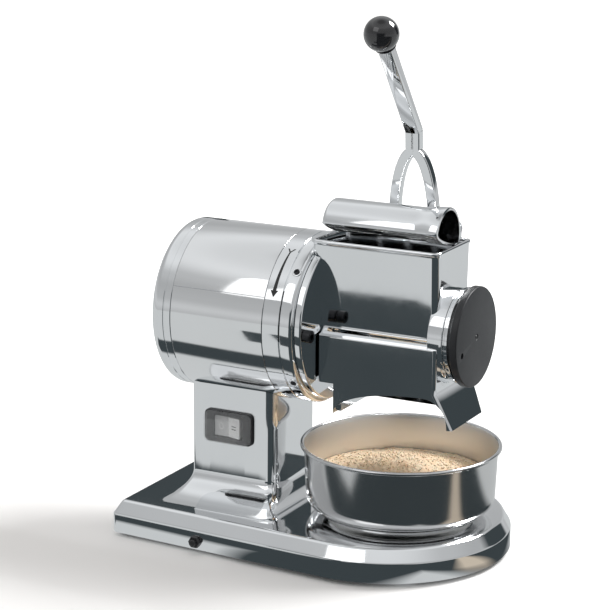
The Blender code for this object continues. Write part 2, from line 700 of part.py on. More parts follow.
def make_motor():
    r = BARREL_RADIUS
    wall = r - BARREL_WALL
    turned(
        "motor_barrel",
        [(r, BARREL_LENGTH), (r, 0.0), (wall, 0.0), (wall, BARREL_LENGTH)],
        POLISHED, on_axis(BARREL_X0), "X", 48,
    )
    turned(
        "motor_rear_cap",
        [
            (r, CAP_LENGTH),
            (r, 0.010),
            (r - 0.0012, 0.0055),
            (r - 0.0042, 0.0022),
            (r - 0.0095, 0.0004),
            (r - 0.016, 0.0),
            (0.008, 0.0),
            (0.008, 0.003),
            (r - 0.016, 0.003),
            (r - 0.0065, 0.0055),
            (r - 0.0045, 0.010),
            (r - 0.0045, CAP_LENGTH),
        ],
        POLISHED, on_axis(CAP_X0), "X", 40,
    )
    turned(
        "rear_bearing_plate",
        [
            (wall - GAP, BEARING_PLATE),
            (wall - GAP, 0.0),
            (SHAFT_RADIUS + 0.003, 0.0),
            (SHAFT_RADIUS + 0.003, BEARING_PLATE - 0.001),
            (BEARING_OUTER + GAP, BEARING_PLATE - 0.001),
            (BEARING_OUTER + GAP, BEARING_PLATE + BEARING_WIDTH),
            (BEARING_OUTER + 0.004, BEARING_PLATE + BEARING_WIDTH),
            (BEARING_OUTER + 0.004, BEARING_PLATE),
        ],
        STEEL, on_axis(SEAT_X), "X", 24,
    )

    front_inner = BEARING_OUTER + GAP
    length = FRONT_RING_LENGTH
    housing = length - 0.005 - BEARING_WIDTH
    turned(
        "motor_front_ring",
        [
            (r - 0.0022, length),
            (r, length - 0.0022),
            (r, 0.0),
            (r - 0.006, 0.0),
            (r - 0.006, length - 0.009),
            (BEARING_OUTER + 0.005, length - 0.009),
            (BEARING_OUTER + 0.005, housing),
            (front_inner, housing),
            (front_inner, length - 0.003),
            (SHAFT_RADIUS + 0.004, length - 0.003),
            (SHAFT_RADIUS + 0.004, length),
        ],
        POLISHED, on_axis(RING_X0), "X", 48,
    )
    bearings = {
        "rear_bearing": SEAT_X + BEARING_PLATE - 0.001 + GAP,
        "front_bearing": RING_X1 - 0.003 - BEARING_WIDTH - GAP,
    }
    for name, x in bearings.items():
        turned(
            name,
            [
                (BEARING_OUTER, BEARING_WIDTH),
                (BEARING_OUTER, 0.0),
                (SHAFT_RADIUS + GAP, 0.0),
                (SHAFT_RADIUS + GAP, BEARING_WIDTH),
            ],
            STEEL, on_axis(x), "X", 20,
        )
    turned(
        "stator",
        [
            (STATOR_OUTER, CORE_LENGTH),
            (STATOR_OUTER, 0.0),
            (STATOR_OUTER - 0.012, 0.0),
            (STATOR_OUTER - 0.014, -WINDING_REACH),
            (STATOR_INNER + 0.008, -WINDING_REACH),
            (STATOR_INNER + 0.006, 0.0),
            (STATOR_INNER, 0.0),
            (STATOR_INNER, CORE_LENGTH),
        ],
        COPPER, on_axis(CORE_X0), "X", 24,
    )
    turned(
        "rotor",
        [
            (ROTOR_RADIUS, CORE_LENGTH),
            (ROTOR_RADIUS, 0.0),
            (SHAFT_RADIUS + GAP, 0.0),
            (SHAFT_RADIUS + GAP, CORE_LENGTH),
        ],
        IRON, on_axis(CORE_X0), "X", 24,
    )
    cylinder("motor_shaft", SHAFT_RADIUS, on_axis(SEAT_X - 0.010), on_axis(DRUM_X0 + 0.014), STEEL)
    make_fan()
    turned(
        "shaft_seal",
        [
            (SEAL_RADIUS, SEAL_WIDTH),
            (SEAL_RADIUS, 0.0),
            (SHAFT_RADIUS + GAP, 0.0),
            (SHAFT_RADIUS + GAP, SEAL_WIDTH),
        ],
        RUBBER, on_axis(FLANGE_X0 + 0.002), "X", 20,
    )
    foot = Vector((CAPACITOR_X, CAPACITOR_BEHIND, BASE_TOP + 0.002))
    top = foot + Vector((0.0, 0.0, CAPACITOR_HEIGHT))
    cylinder("start_capacitor", CAPACITOR_RADIUS, foot, top, GREY_PLASTIC, sides=28)


def make_fan():
    x = SEAT_X + BEARING_PLATE + BEARING_WIDTH + 0.002
    fan = turned(
        "cooling_fan",
        [
            (FAN_RADIUS, 0.002),
            (FAN_RADIUS, 0.0),
            (SHAFT_RADIUS + GAP, 0.0),
            (SHAFT_RADIUS + GAP, 0.009),
            (SHAFT_RADIUS + 0.004, 0.009),
            (SHAFT_RADIUS + 0.004, 0.002),
        ],
        BLACK_PLASTIC, on_axis(x), "X", 20,
    )
    for i in range(FAN_BLADES):
        angle = math.tau * i / FAN_BLADES
        low = (0.0, SHAFT_RADIUS + 0.002, -0.001)
        high = (0.008, FAN_RADIUS - 0.001, 0.001)
        blade = box("fan_blade_%d" % i, low, high, group=CUTTERS)
        middle = Matrix.Translation(blade.location)
        turn = Matrix.Rotation(angle, 4, "X")
        blade.matrix_world = Matrix.Translation(on_axis(x + 0.001)) @ turn @ middle
        join(fan, blade)


def make_ring_screws():
    """Four small screws set radially into the front ring."""
    middle = Vector(on_axis(RING_X1 - RING_SCREW_INSET))
    for side, sign in (("front", -1), ("back", 1)):
        for level, rise in (("upper", RING_SCREW_RISE), ("lower", -RING_SCREW_DROP)):
            angle = math.radians(rise)
            out = Vector((0.0, sign * math.cos(angle), math.sin(angle)))
            foot = middle + out * (BARREL_RADIUS + GAP)
            top = foot + out * RING_SCREW_HEIGHT
            name = "ring_screw_%s_%s" % (side, level)
            screw = cylinder(name, RING_SCREW_RADIUS, foot, top, BLACK_STEEL, sides=12)
            rounded(screw, 0.0006, 1)


def make_flange_bolts():
    """Black socket-head bolts that hold the grater head on the motor's front."""
    for name, sign in (("flange_bolt_front", -1), ("flange_bolt_back", 1)):
        start = Vector((FLANGE_X1 + GAP, sign * FLANGE_BOLT_CIRCLE, AXIS_HEIGHT - 0.0015))
        end = start + Vector((BOLT_HEIGHT, 0.0, 0.0))
        bolt = cylinder(name, BOLT_RADIUS, start, end, BLACK_STEEL, sides=20)
        rounded(bolt, 0.0007, 1)
        depth = Vector((BOLT_HEIGHT / 2, 0.0, 0.0))
        socket = cylinder(name + "_socket", SOCKET_RADIUS, end - depth, end + depth, group=CUTTERS, sides=6)
        cut(bolt, socket)


# ---------------------------------------------------------------- grater head
def hopper_section(z, inset):
    """The hopper's plan at z: the front and back walls lean in, and so does the wall next to the motor."""
    down = (HOPPER_TOP - z) / (HOPPER_TOP - COVE_TOP)
    lean = HOPPER_LEAN * down
    x0 = HOPPER_X0 + HOPPER_RIM + HOPPER_LEFT_LEAN * down + inset
    x1 = HOPPER_X1 - HOPPER_RIM - inset
    half = HOPPER_DEPTH / 2 - HOPPER_RIM - lean - inset
    return rounded_rectangle(x0, x1, -half, half, max(0.008 - inset, 0.003), 4)


def chute_right(z):
    """The chute's right side: it runs out below the end ring."""
    return CHAMBER_X1 + CHUTE_FLARE * max(CHUTE_KNEE - z, 0.0) / (CHUTE_KNEE - CHUTE_BOTTOM)


def chute_section(z, x0, x1, front, back):
    return at_height(rounded_rectangle(x0, x1, -front, back, 0.004, 3), z)


def make_head():
    head = turned(
        "head_casting",
        [
            (0.0, FLANGE_THICKNESS),
            (FLANGE_RADIUS - 0.002, FLANGE_THICKNESS),
            (FLANGE_RADIUS, FLANGE_THICKNESS - 0.002),
            (FLANGE_RADIUS, 0.0),
            (0.0, 0.0),
        ],
        POLISHED, on_axis(FLANGE_X0), "X", 48,
    )
    rim = HOPPER_RIM
    hopper = [
        at_height(hopper_section(COVE_FOOT, 0.0), COVE_FOOT - 0.006),
        at_height(hopper_section(COVE_TOP, 0.0), COVE_TOP),
        at_height(hopper_section(HOPPER_TOP - 0.0052, 0.0), HOPPER_TOP - 0.0052),
        at_height(hopper_section(HOPPER_TOP, -rim * 0.75), HOPPER_TOP - 0.0042),
        at_height(hopper_section(HOPPER_TOP, -rim), HOPPER_TOP - 0.0028),
        at_height(hopper_section(HOPPER_TOP, -rim), HOPPER_TOP - 0.0012),
        at_height(hopper_section(HOPPER_TOP, -rim * 0.6), HOPPER_TOP),
    ]
    join(head, loft("hopper_shell", hopper, POLISHED, CUTTERS))

    x0, x1, half = CHAMBER_X0, CHAMBER_X1, CHAMBER_HALF
    neck = HOPPER_DEPTH / 2 - HOPPER_RIM - HOPPER_LEAN
    chute = [
        chute_section(CHUTE_BOTTOM, x0, chute_right(CHUTE_BOTTOM), half, CHUTE_BACK),
        chute_section(CHUTE_KNEE, x0, x1, half, half - 0.006),
        chute_section(AXIS_HEIGHT - STRAIGHT_DROP, x0, x1, half, half),
        chute_section(COVE_FOOT, x0, x1, half, half),
    ]
    for t in (0.25, 0.5, 0.75, 1.0):
        shrink = math.sin(math.radians(90 * t))
        rise = 1 - math.cos(math.radians(90 * t))
        edge = half - (half - neck + 0.002) * shrink
        z = COVE_FOOT + (COVE_TOP - COVE_FOOT) * rise
        chute.append(chute_section(z, x0 - 0.002 * shrink, x1 - 0.002 * shrink, edge, edge))
    join(head, loft("chute_shell", chute, POLISHED, CUTTERS))

    join(head, box(
        "flange_web",
        (FLANGE_X0 + 0.001, -neck + 0.004, AXIS_HEIGHT - 0.04),
        (CHAMBER_X0 + 0.004, neck - 0.004, HOPPER_TOP - 0.012),
        group=CUTTERS,
    ))
    join(head, cylinder(
        "end_boss", BOSS_RADIUS, on_axis(CHAMBER_X1 - 0.012), on_axis(BOSS_X1), group=CUTTERS, sides=40,
    ))
    make_hinge_lugs(head)
    hollow_head(head)
    cut_arch(head)
    start, end = on_axis((RING_X0 + RING_X1) / 2), on_axis(FLANGE_X0)
    cut(head, cylinder("ring_space", BARREL_RADIUS + GAP, start, end, group=CUTTERS, sides=96))
    return head


def make_hinge_lugs(head):
    """Two ears on the hopper's back rim that carry the hinge pin."""
    reach = PIN_HALF - EAR_INSET
    half = EAR_WIDTH / 2
    for i, x in enumerate((LEVER_X - reach, LEVER_X + reach)):
        low = (x - half, PIN_Y - EAR_RADIUS, HOPPER_TOP - EAR_DEPTH)
        high = (x + half, PIN_Y + EAR_RADIUS - 0.001, PIN_Z)
        join(head, box("hinge_ear_%d" % i, low, high, group=CUTTERS))
        start, end = (x - half, PIN_Y - 0.0003, PIN_Z), (x + half, PIN_Y - 0.0003, PIN_Z)
        join(head, cylinder("hinge_eye_%d" % i, EAR_RADIUS, start, end, group=CUTTERS, sides=24))
    start, end = (LEVER_X - 2 * PIN_HALF, PIN_Y, PIN_Z), (LEVER_X + 2 * PIN_HALF, PIN_Y, PIN_Z)
    cut(head, cylinder("pin_hole", PIN_RADIUS + GAP, start, end, group=CUTTERS, sides=24))


def hollow_head(head):
    """The hopper's and the chute's insides, the bores at both ends of the drum, and the step."""
    wall = HOPPER_WALL
    inner = [
        at_height(hopper_section(COVE_TOP - 0.012, wall), COVE_TOP - 0.012),
        at_height(hopper_section(HOPPER_TOP + 0.01, wall), HOPPER_TOP + 0.01),
    ]
    cut(head, loft("hopper_hollow", inner, STEEL, CUTTERS))
    x0, x1, half = CHAMBER_X0 + CHAMBER_WALL, CHAMBER_X1 - CHAMBER_WALL, CHAMBER_HALF - CHAMBER_WALL
    neck = HOPPER_DEPTH / 2 - HOPPER_RIM - HOPPER_LEAN - wall
    below = CHUTE_BOTTOM - 0.004
    shoulder = AXIS_HEIGHT - STEP_DROP - 0.002
    hollow = [
        chute_section(below, x0 + CHUTE_STEP, chute_right(below) - CHAMBER_WALL, half, CHUTE_BACK - 0.003),
        chute_section(shoulder, x0 + CHUTE_STEP, chute_right(shoulder) - CHAMBER_WALL, half, half - 0.009),
        chute_section(shoulder + 0.010, x0, x1, half, half - 0.003),
        chute_section(AXIS_HEIGHT - STRAIGHT_DROP, x0, x1, half, half),
        chute_section(COVE_FOOT - 0.003, x0, x1, half, half),
        chute_section(COVE_TOP - 0.003, x0, x1, neck, neck),
    ]
    cut(head, loft("chute_hollow", hollow, STEEL, CUTTERS))
    start, end = on_axis(x1 - 0.01), on_axis(BOSS_X1 + 0.01)
    cut(head, cylinder("drum_bore", RING_BORE, start, end, group=CUTTERS, sides=48))
    start, end = on_axis(FLANGE_X0 - 0.01), on_axis(x0 + 0.01)
    cut(head, cylinder("seal_bore", SEAL_RADIUS + GAP, start, end, group=CUTTERS, sides=32))
    low = (FLANGE_X1 + GAP, -2 * CHAMBER_HALF, CHUTE_BOTTOM - 0.01)
    high = (CHAMBER_X0 + CHUTE_STEP, 2 * CHAMBER_HALF, AXIS_HEIGHT - STEP_DROP)
    cut(head, box("chute_step", low, high, group=CUTTERS))


def cut_arch(head):
    """The arch in the chute's front wall: two quarter ellipses that meet at its top."""
    left = CHAMBER_X0 + CHUTE_STEP
    right = CHAMBER_X1 + CHUTE_FLARE - 0.006
    peak = left + (right - left) * ARCH_PEAK

    def side(end, last, count):
        quarter = arc((0.0, 0.0), 1.0, 0, last, count)
        return [(peak + (end - peak) * u, CHUTE_BOTTOM + ARCH_RISE * v) for u, v in quarter]

    below = CHUTE_BOTTOM - 0.01
    arch = [(right, below)] + side(right, 80, 7) + list(reversed(side(left, 90, 11))) + [(left, below)]
    depths = (-2 * CHAMBER_HALF, -CHAMBER_HALF + 3 * CHAMBER_WALL)
    cut(head, loft("front_arch", [[(x, y, z) for x, z in arch] for y in depths], STEEL, CUTTERS))


def make_drum():
    """The grating drum, its driving hub on the motor shaft and its end hub."""
    turned(
        "grating_drum",
        [
            (DRUM_RADIUS, DRUM_LENGTH),
            (DRUM_RADIUS, 0.0),
            (DRUM_RADIUS - DRUM_WALL, 0.0),
            (DRUM_RADIUS - DRUM_WALL, DRUM_LENGTH),
        ],
        STAINLESS, on_axis(DRUM_X0), "X", 40,
    )
    hub = DRUM_RADIUS - DRUM_WALL - GAP
    turned(
        "drum_drive_hub",
        [
            (hub, 0.004),
            (hub, 0.0),
            (SHAFT_RADIUS + GAP, 0.0),
            (SHAFT_RADIUS + GAP, 0.015),
            (SHAFT_RADIUS + 0.006, 0.015),
            (SHAFT_RADIUS + 0.006, 0.004),
        ],
        STEEL, on_axis(DRUM_X0 + 0.001), "X", 24,
    )
    end = DRUM_X1 - 0.001
    stub = END_RING_X1 - 0.003 - end
    turned(
        "drum_end_hub",
        [
            (0.0, stub),
            (STUB_RADIUS, stub),
            (STUB_RADIUS, 0.0),
            (hub, 0.0),
            (hub, -0.004),
            (0.0, -0.004),
        ],
        STEEL, on_axis(end), "X", 24,
    )


def make_end_cover():
    """The ring that closes the drum's bore, its bush, and the black knob that locks it."""
    length = END_RING_LENGTH
    spigot = RING_BORE - GAP
    turned(
        "end_ring",
        [
            (0.046, length),
            (0.046, length - 0.003),
            (0.0515, length - 0.0035),
            (0.0515, length - 0.007),
            (0.0495, length - 0.0075),
            (0.0495, 0.0),
            (spigot, 0.0),
            (spigot, -BOSS_LENGTH),
            (BUSH_RADIUS + GAP, -BOSS_LENGTH),
            (BUSH_RADIUS + GAP, length),
        ],
        POLISHED, on_axis(END_RING_X0), "X", 40,
    )
    turned(
        "drum_end_bush",
        [
            (BUSH_RADIUS, length + BOSS_LENGTH),
            (BUSH_RADIUS, 0.0),
            (STUB_RADIUS + GAP, 0.0),
            (STUB_RADIUS + GAP, length + BOSS_LENGTH),
        ],
        STEEL, on_axis(END_RING_X0 - BOSS_LENGTH), "X", 20,
    )
    thick = COVER_THICKNESS
    knob = turned(
        "cover_knob",
        [
            (0.0, thick),
            (COVER_RADIUS - 0.0012, thick),
            (COVER_RADIUS, thick - 0.0012),
            (COVER_RADIUS, 0.0012),
            (COVER_RADIUS - 0.0012, 0.0),
            (0.0, 0.0),
        ],
        BLACK_PLASTIC, on_axis(COVER_X0), "X", 40,
    )
    place = Vector((COVER_X0, -LATCH_SIDE, AXIS_HEIGHT - LATCH_DROP))
    reach = Vector((2 * COVER_THICKNESS, 0.0, 0.0))
    cut(knob, cylinder("latch_hole", LATCH_RADIUS, place - reach, place + reach, group=CUTTERS, sides=20))


# ---------------------------------------------------------------- presser and lever
def presser_outline(shrink):
    """The presser's section about its middle: an arch above, a shallow belly below."""
    radius = PRESSER_RADIUS - shrink
    belly = PRESSER_BELLY - shrink
    top = arc((0.0, 0.0), radius, 0, 180, 20)
    turns = [math.pi * (1 + i / 12) for i in range(1, 12)]
    return top + [(radius * math.cos(a), belly * math.sin(a)) for a in turns]


def make_presser(hinge):
    middle = Vector((0.0, PIN_Y - PRESSER_REACH, PIN_Z + PRESSER_LIFT))
    tilt = Matrix.Rotation(math.radians(-PRESSER_TILT), 3, "X")

    def ring(x, shrink):
        outline = [Vector((x, y, z - 0.004)) for y, z in presser_outline(shrink)]
        return [middle + tilt @ point for point in outline]

    x0, x1 = PRESSER_X0, PRESSER_X1
    ends = ((x0, 0.0025), (x0 + 0.002, 0.0006), (x0 + 0.005, 0.0), (x1, 0.0))
    presser = loft("presser", [ring(x, shrink) for x, shrink in ends], POLISHED)
    cut(presser, loft(
        "presser_hollow",
        [ring(x, PRESSER_WALL) for x in (x0 + 0.006, x1 + 0.01)],
        STEEL, CUTTERS,
    ))
    # A foot behind the arch meets the lever's legs.
    back = middle.y + PRESSER_RADIUS * 0.8
    half = LEVER_SPREAD / 2 + 0.008
    low = (LEVER_X - half, back - 0.008, PIN_Z + 0.004)
    high = (LEVER_X + half, PIN_Y - EYE_RADIUS - 0.0007, PIN_Z + 0.012)
    join(presser, box("presser_foot", low, high, group=CUTTERS))
    hang(presser, hinge)


def strut(name, points, widths, depth, mat=POLISHED, group=CUTTERS):
    """A bar of rectangular section through 3-D points in an upright plane along X."""
    sections = []
    for i, point in enumerate(points):
        before = Vector(points[max(i - 1, 0)])
        after = Vector(points[min(i + 1, len(points) - 1)])
        along = (after - before).normalized()
        across = along.cross(Vector((0, 1, 0))).normalized()
        out = across.cross(along).normalized()
        w = widths[i] / 2
        d = depth / 2
        corners = ((w, d), (w * 0.6, d * 1.25), (-w * 0.6, d * 1.25), (-w, d), (-w, -d), (w, -d))
        sections.append([Vector(point) + across * a + out * b for a, b in corners])
    return loft(name, sections, mat, group)


def make_lever(hinge):
    """A forked lever: two legs rise from the hinge pin, meet, and run on as an arm that leans forward."""
    fork = Vector((LEVER_X, PIN_Y - LEVER_SET, PIN_Z + LEVER_RISE))
    lean = math.radians(LEVER_LEAN)
    along = Vector((0.0, -math.sin(lean), math.cos(lean)))
    arm_end = fork + along * (LEVER_ARM - KNOB_RADIUS * 0.9)
    arm_start = fork - along * 0.001
    lever = strut(
        "lever_arm",
        [arm_start, fork + along * 0.02, fork + along * 0.07, arm_end],
        [LEVER_WIDTH, LEVER_WIDTH, LEVER_WIDTH, LEVER_WIDTH * 0.92],
        LEG_WIDTH,
        group=PARTS,
    )
    reach = Vector((LEVER_WIDTH / 2 - 0.0005, 0.0, 0.0))
    knuckle = cylinder("lever_knuckle", LEG_WIDTH / 2, fork - reach, fork + reach, group=CUTTERS, sides=24)
    join(lever, knuckle)
    for side in (-1, 1):
        foot_x = LEVER_X + side * LEVER_SPREAD / 2
        points = []
        for t in (0.0, 0.25, 0.45, 0.60, 0.70, LEVER_WINDOW, 1.0):
            ease = math.sqrt(1.0 - min(t / LEVER_WINDOW, 1.0) ** 2)
            offset = max(LEVER_SPREAD / 2 * ease, (LEVER_WIDTH - LEG_WIDTH) / 2)
            points.append((LEVER_X + side * offset, PIN_Y - LEVER_SET * t, PIN_Z + LEVER_RISE * t))
        join(lever, strut("lever_leg_%d" % side, points, [LEG_WIDTH * 1.2] + [LEG_WIDTH] * 6, LEG_WIDTH))
        start, end = (foot_x - 0.007, PIN_Y, PIN_Z), (foot_x + 0.007, PIN_Y, PIN_Z)
        join(lever, cylinder("lever_eye_%d" % side, EYE_RADIUS, start, end, group=CUTTERS, sides=24))
    start, end = (LEVER_X - 2 * PIN_HALF, PIN_Y, PIN_Z), (LEVER_X + 2 * PIN_HALF, PIN_Y, PIN_Z)
    cut(lever, cylinder("lever_pin_hole", PIN_RADIUS + RUNNING, start, end, group=CUTTERS, sides=32))
    hang(lever, hinge)

    centre = fork + along * LEVER_ARM
    base = -KNOB_RADIUS * 0.9 + GAP
    shoulder = KNOB_RADIUS * 0.82
    neck = math.sqrt(KNOB_RADIUS**2 - shoulder**2)
    turns = [math.radians(a) for a in range(18, 145, 18)]
    profile = [(0.0, KNOB_RADIUS)]
    profile += [(KNOB_RADIUS * math.sin(a), KNOB_RADIUS * math.cos(a)) for a in turns]
    profile += [(neck, -shoulder), (neck - 0.001, base), (0.0, base)]
    knob = turned("lever_knob", profile, GLOSS_BLACK, centre, steps=20)
    knob.rotation_euler = along.to_track_quat("Z", "Y").to_euler()
    hang(knob, hinge)


def make_hinge():
    pin = cylinder(
        "hinge_pin", PIN_RADIUS,
        (LEVER_X - PIN_HALF, PIN_Y, PIN_Z), (LEVER_X + PIN_HALF, PIN_Y, PIN_Z), STEEL, sides=32,
    )
    rounded(pin, 0.0008, 2)
    hinge = pivot("presser_hinge_axis", (LEVER_X, PIN_Y, PIN_Z))
    make_presser(hinge)
    make_lever(hinge)


# ---------------------------------------------------------------- bowl
def make_bowl():
    wall_radius = BOWL_RADIUS - BOWL_BEAD
    low = arc((wall_radius - BOWL_TAPER - BOWL_CORNER, BOWL_CORNER), BOWL_CORNER, 0, -90, 3)
    bead = arc((BOWL_RADIUS, BOWL_HEIGHT - BOWL_BEAD), BOWL_BEAD, 150, -150, 5)
    wall = BOWL_WALL
    inner = [(r - wall * 0.8, h + wall) for r, h in reversed(low)]
    # The list runs down the outside, over the floor and up the inside.
    profile = bead + [(wall_radius, BOWL_HEIGHT - 0.008)] + low
    profile += [(BOWL_FOOT_RADIUS - 0.012, 0.0), (0.0, 0.0), (0.0, wall)]
    profile += inner + [(wall_radius - wall, BOWL_HEIGHT - 0.008)]
    turned("bowl", profile, STAINLESS, (BOWL_X, 0.0, BOWL_Z), steps=40)


def main():
    make_base()
    make_underside()
    make_switch()
    make_button()
    make_gland()
    make_motor()
    make_ring_screws()
    make_flange_bolts()
    make_head()
    make_drum()
    make_end_cover()
    make_hinge()
    make_bowl()


main()
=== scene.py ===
"""Looks for the rotary cheese grater: polished castings, bowl of crumbs, studio floor, lights and camera."""

import math
import random

import bmesh
import bpy
from mathutils import Matrix, Vector, noise


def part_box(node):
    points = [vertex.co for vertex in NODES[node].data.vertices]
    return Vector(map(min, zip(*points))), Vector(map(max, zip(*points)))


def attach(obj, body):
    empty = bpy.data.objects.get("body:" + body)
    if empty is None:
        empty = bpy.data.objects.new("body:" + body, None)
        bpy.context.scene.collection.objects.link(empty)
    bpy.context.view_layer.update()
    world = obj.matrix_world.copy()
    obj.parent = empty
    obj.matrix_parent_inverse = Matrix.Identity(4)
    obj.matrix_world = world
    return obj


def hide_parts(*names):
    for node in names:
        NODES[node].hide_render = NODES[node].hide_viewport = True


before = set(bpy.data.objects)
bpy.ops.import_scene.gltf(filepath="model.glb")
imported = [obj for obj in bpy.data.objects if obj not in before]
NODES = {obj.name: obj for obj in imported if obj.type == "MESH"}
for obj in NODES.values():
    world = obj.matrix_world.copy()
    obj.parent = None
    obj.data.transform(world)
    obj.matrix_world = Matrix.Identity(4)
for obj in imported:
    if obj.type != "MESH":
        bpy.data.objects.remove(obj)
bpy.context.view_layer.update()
SCENE = bpy.context.scene
RNG = random.Random(7)

# ------------------------------------------------------------------ places read from the CAD nodes
barrel_low, barrel_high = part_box("motor_barrel")
cap_low, cap_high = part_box("motor_rear_cap")
ring_low, ring_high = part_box("motor_front_ring")
base_low, base_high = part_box("base_casting")
bowl_low, bowl_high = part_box("bowl")
end_low, end_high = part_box("end_ring")
cover_low, cover_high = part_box("cover_knob")
presser_low, presser_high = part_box("presser")
knob_low, knob_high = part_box("lever_knob")
pin_low, pin_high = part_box("hinge_pin")
drum_low, drum_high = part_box("grating_drum")
frame_low, frame_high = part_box("switch_frame")
rocker_low, rocker_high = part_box("switch_rocker")
boot_low, boot_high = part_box("switch_boot")

AXIS_Z = (barrel_low.z + barrel_high.z) / 2
BARREL_R = (barrel_high.z - barrel_low.z) / 2
BASE_Z = base_low.z
BASE_TOP = 0.0408
BASE_LEFT, BASE_RIGHT = base_low.x, base_high.x
BASE_R = (base_high.y - base_low.y) / 2
ROUND_X = BASE_RIGHT - BASE_R
LEFT_HALF = 0.124
BOWL_X = (bowl_low.x + bowl_high.x) / 2
BOWL_R = (bowl_high.x - bowl_low.x) / 2
PIN_Y = (pin_low.y + pin_high.y) / 2
PIN_Z = (pin_low.z + pin_high.z) / 2
LEVER_X = (pin_low.x + pin_high.x) / 2
HOPPER_TOP = PIN_Z - 0.0080
FLANGE_X0 = ring_high.x + 0.0003
FLANGE_X1 = FLANGE_X0 + 0.008
CHAMBER_X0 = FLANGE_X1 + 0.002
CHAMBER_X1 = CHAMBER_X0 + 0.1385
HOPPER_X0 = FLANGE_X1 - 0.0140
HOPPER_X1 = HOPPER_X0 + 0.1530
HOPPER_HALF = 0.0458
RIM = 0.0022
WALL = 0.0035


# ------------------------------------------------------------------ materials
class Tree:
    """A short way to write a material's nodes."""

    def __init__(self, name):
        self.mat = bpy.data.materials.new(name)
        self.mat.use_nodes = True
        self.nodes = self.mat.node_tree.nodes
        self.links = self.mat.node_tree.links
        self.shader = self.nodes["Principled BSDF"]
        self.coord = self.nodes.new("ShaderNodeTexCoord").outputs["Object"]

    def node(self, kind, inputs=None, **settings):
        made = self.nodes.new(kind)
        for key, value in settings.items():
            setattr(made, key, value)
        for key, value in (inputs or {}).items():
            if isinstance(value, bpy.types.NodeSocket):
                self.links.new(value, made.inputs[key])
            else:
                made.inputs[key].default_value = value
        return made

    def stretched(self, scale):
        return self.node("ShaderNodeMapping", {"Vector": self.coord, "Scale": scale}).outputs[0]

    def noise(self, scale, detail=3.0, vector=None, roughness=0.5):
        inputs = {"Vector": vector or self.coord, "Scale": scale, "Detail": detail, "Roughness": roughness}
        return self.node("ShaderNodeTexNoise", inputs).outputs["Fac"]

    def span(self, value, low, high, start=0.3, end=0.7):
        inputs = {"Value": value, "From Min": start, "From Max": end, "To Min": low, "To Max": high}
        return self.node("ShaderNodeMapRange", inputs).outputs[0]

    def mix(self, factor, first, second):
        made = self.node("ShaderNodeMix", data_type="RGBA")
        for socket, value in ((made.inputs[0], factor), (made.inputs[6], first), (made.inputs[7], second)):
            if isinstance(value, bpy.types.NodeSocket):
                self.links.new(value, socket)
            else:
                rgb = isinstance(value, tuple) and len(value) == 3
                socket.default_value = (*value, 1.0) if rgb else value
        return made.outputs[2]

    def set(self, **values):
        for key, value in values.items():
            socket = self.shader.inputs[key.replace("_", " ")]
            if isinstance(value, bpy.types.NodeSocket):
                self.links.new(value, socket)
            elif isinstance(value, tuple):
                socket.default_value = (*value, 1.0)
            else:
                socket.default_value = value
        return self

    def bump(self, height, strength, distance=0.001):
        made = self.node("ShaderNodeBump", {"Height": height, "Strength": strength, "Distance": distance})
        self.links.new(made.outputs[0], self.shader.inputs["Normal"])
        return self


def polished_metal(name, colour, low, high, wave=0.05):
    """Mirror-polished casting: faint haze, rare buffing marks and a slow ripple under the polish."""
    t = Tree(name)
    haze = t.noise(9.0, 4.0)
    buff = t.noise(60.0, 6.0, t.stretched((1.0, 6.0, 1.0)), 0.7)
    both = t.node("ShaderNodeMath", {0: haze, 1: buff}, operation="MULTIPLY").outputs[0]
    tint = t.mix(t.span(haze, 0.0, 1.0), colour, tuple(c * 0.965 for c in colour))
    t.set(Metallic=1.0, Base_Color=tint, Roughness=t.span(both, low, high, 0.12, 0.42))
    t.bump(t.noise(14.0, 2.0), wave, 0.0006)
    return t.mat


def brushed_metal(name, colour, low, high, stretch, strength=0.08):
    t = Tree(name)
    lines = t.noise(260.0, 4.0, t.stretched(stretch), 0.75)
    cloud = t.noise(12.0, 3.0)
    tint = t.mix(t.span(cloud, 0.0, 1.0), colour, tuple(c * 0.93 for c in colour))
    t.set(Metallic=1.0, Base_Color=tint, Roughness=t.span(lines, low, high))
    t.bump(lines, strength, 0.0003)
    return t.mat


def plastic(name, colour, low, high, grain=420.0, strength=0.12, coat=0.0):
    """Moulded plastic with a fine grain and slightly uneven gloss."""
    t = Tree(name)
    cloud = t.noise(22.0, 4.0)
    fine = t.noise(grain * 2.5, 2.0)
    tint = t.mix(t.span(cloud, 0.0, 1.0), colour, tuple(min(c * 1.25 + 0.002, 1.0) for c in colour))
    t.set(Base_Color=tint, Roughness=t.span(cloud, low, high), Coat_Weight=coat, Coat_Roughness=0.04)
    t.bump(fine, strength, 0.0002)
    return t.mat


POLISHED = polished_metal("polished_aluminium", (0.90, 0.91, 0.92), 0.035, 0.085)
POLISHED_TUBE = polished_metal("polished_tube", (0.90, 0.905, 0.91), 0.045, 0.10, 0.02)
STAINLESS = brushed_metal("stainless_bowl", (0.72, 0.72, 0.72), 0.09, 0.20, (1.0, 1.0, 40.0), 0.03)
STAINLESS_IN = brushed_metal("stainless_inside", (0.80, 0.79, 0.77), 0.32, 0.5, (1.0, 1.0, 30.0), 0.05)
DRUM_STEEL = brushed_metal("drum_steel", (0.62, 0.62, 0.61), 0.18, 0.34, (40.0, 1.0, 1.0), 0.06)
MACHINED = brushed_metal("machined_steel", (0.56, 0.57, 0.59), 0.22, 0.38, (30.0, 1.0, 1.0), 0.06)

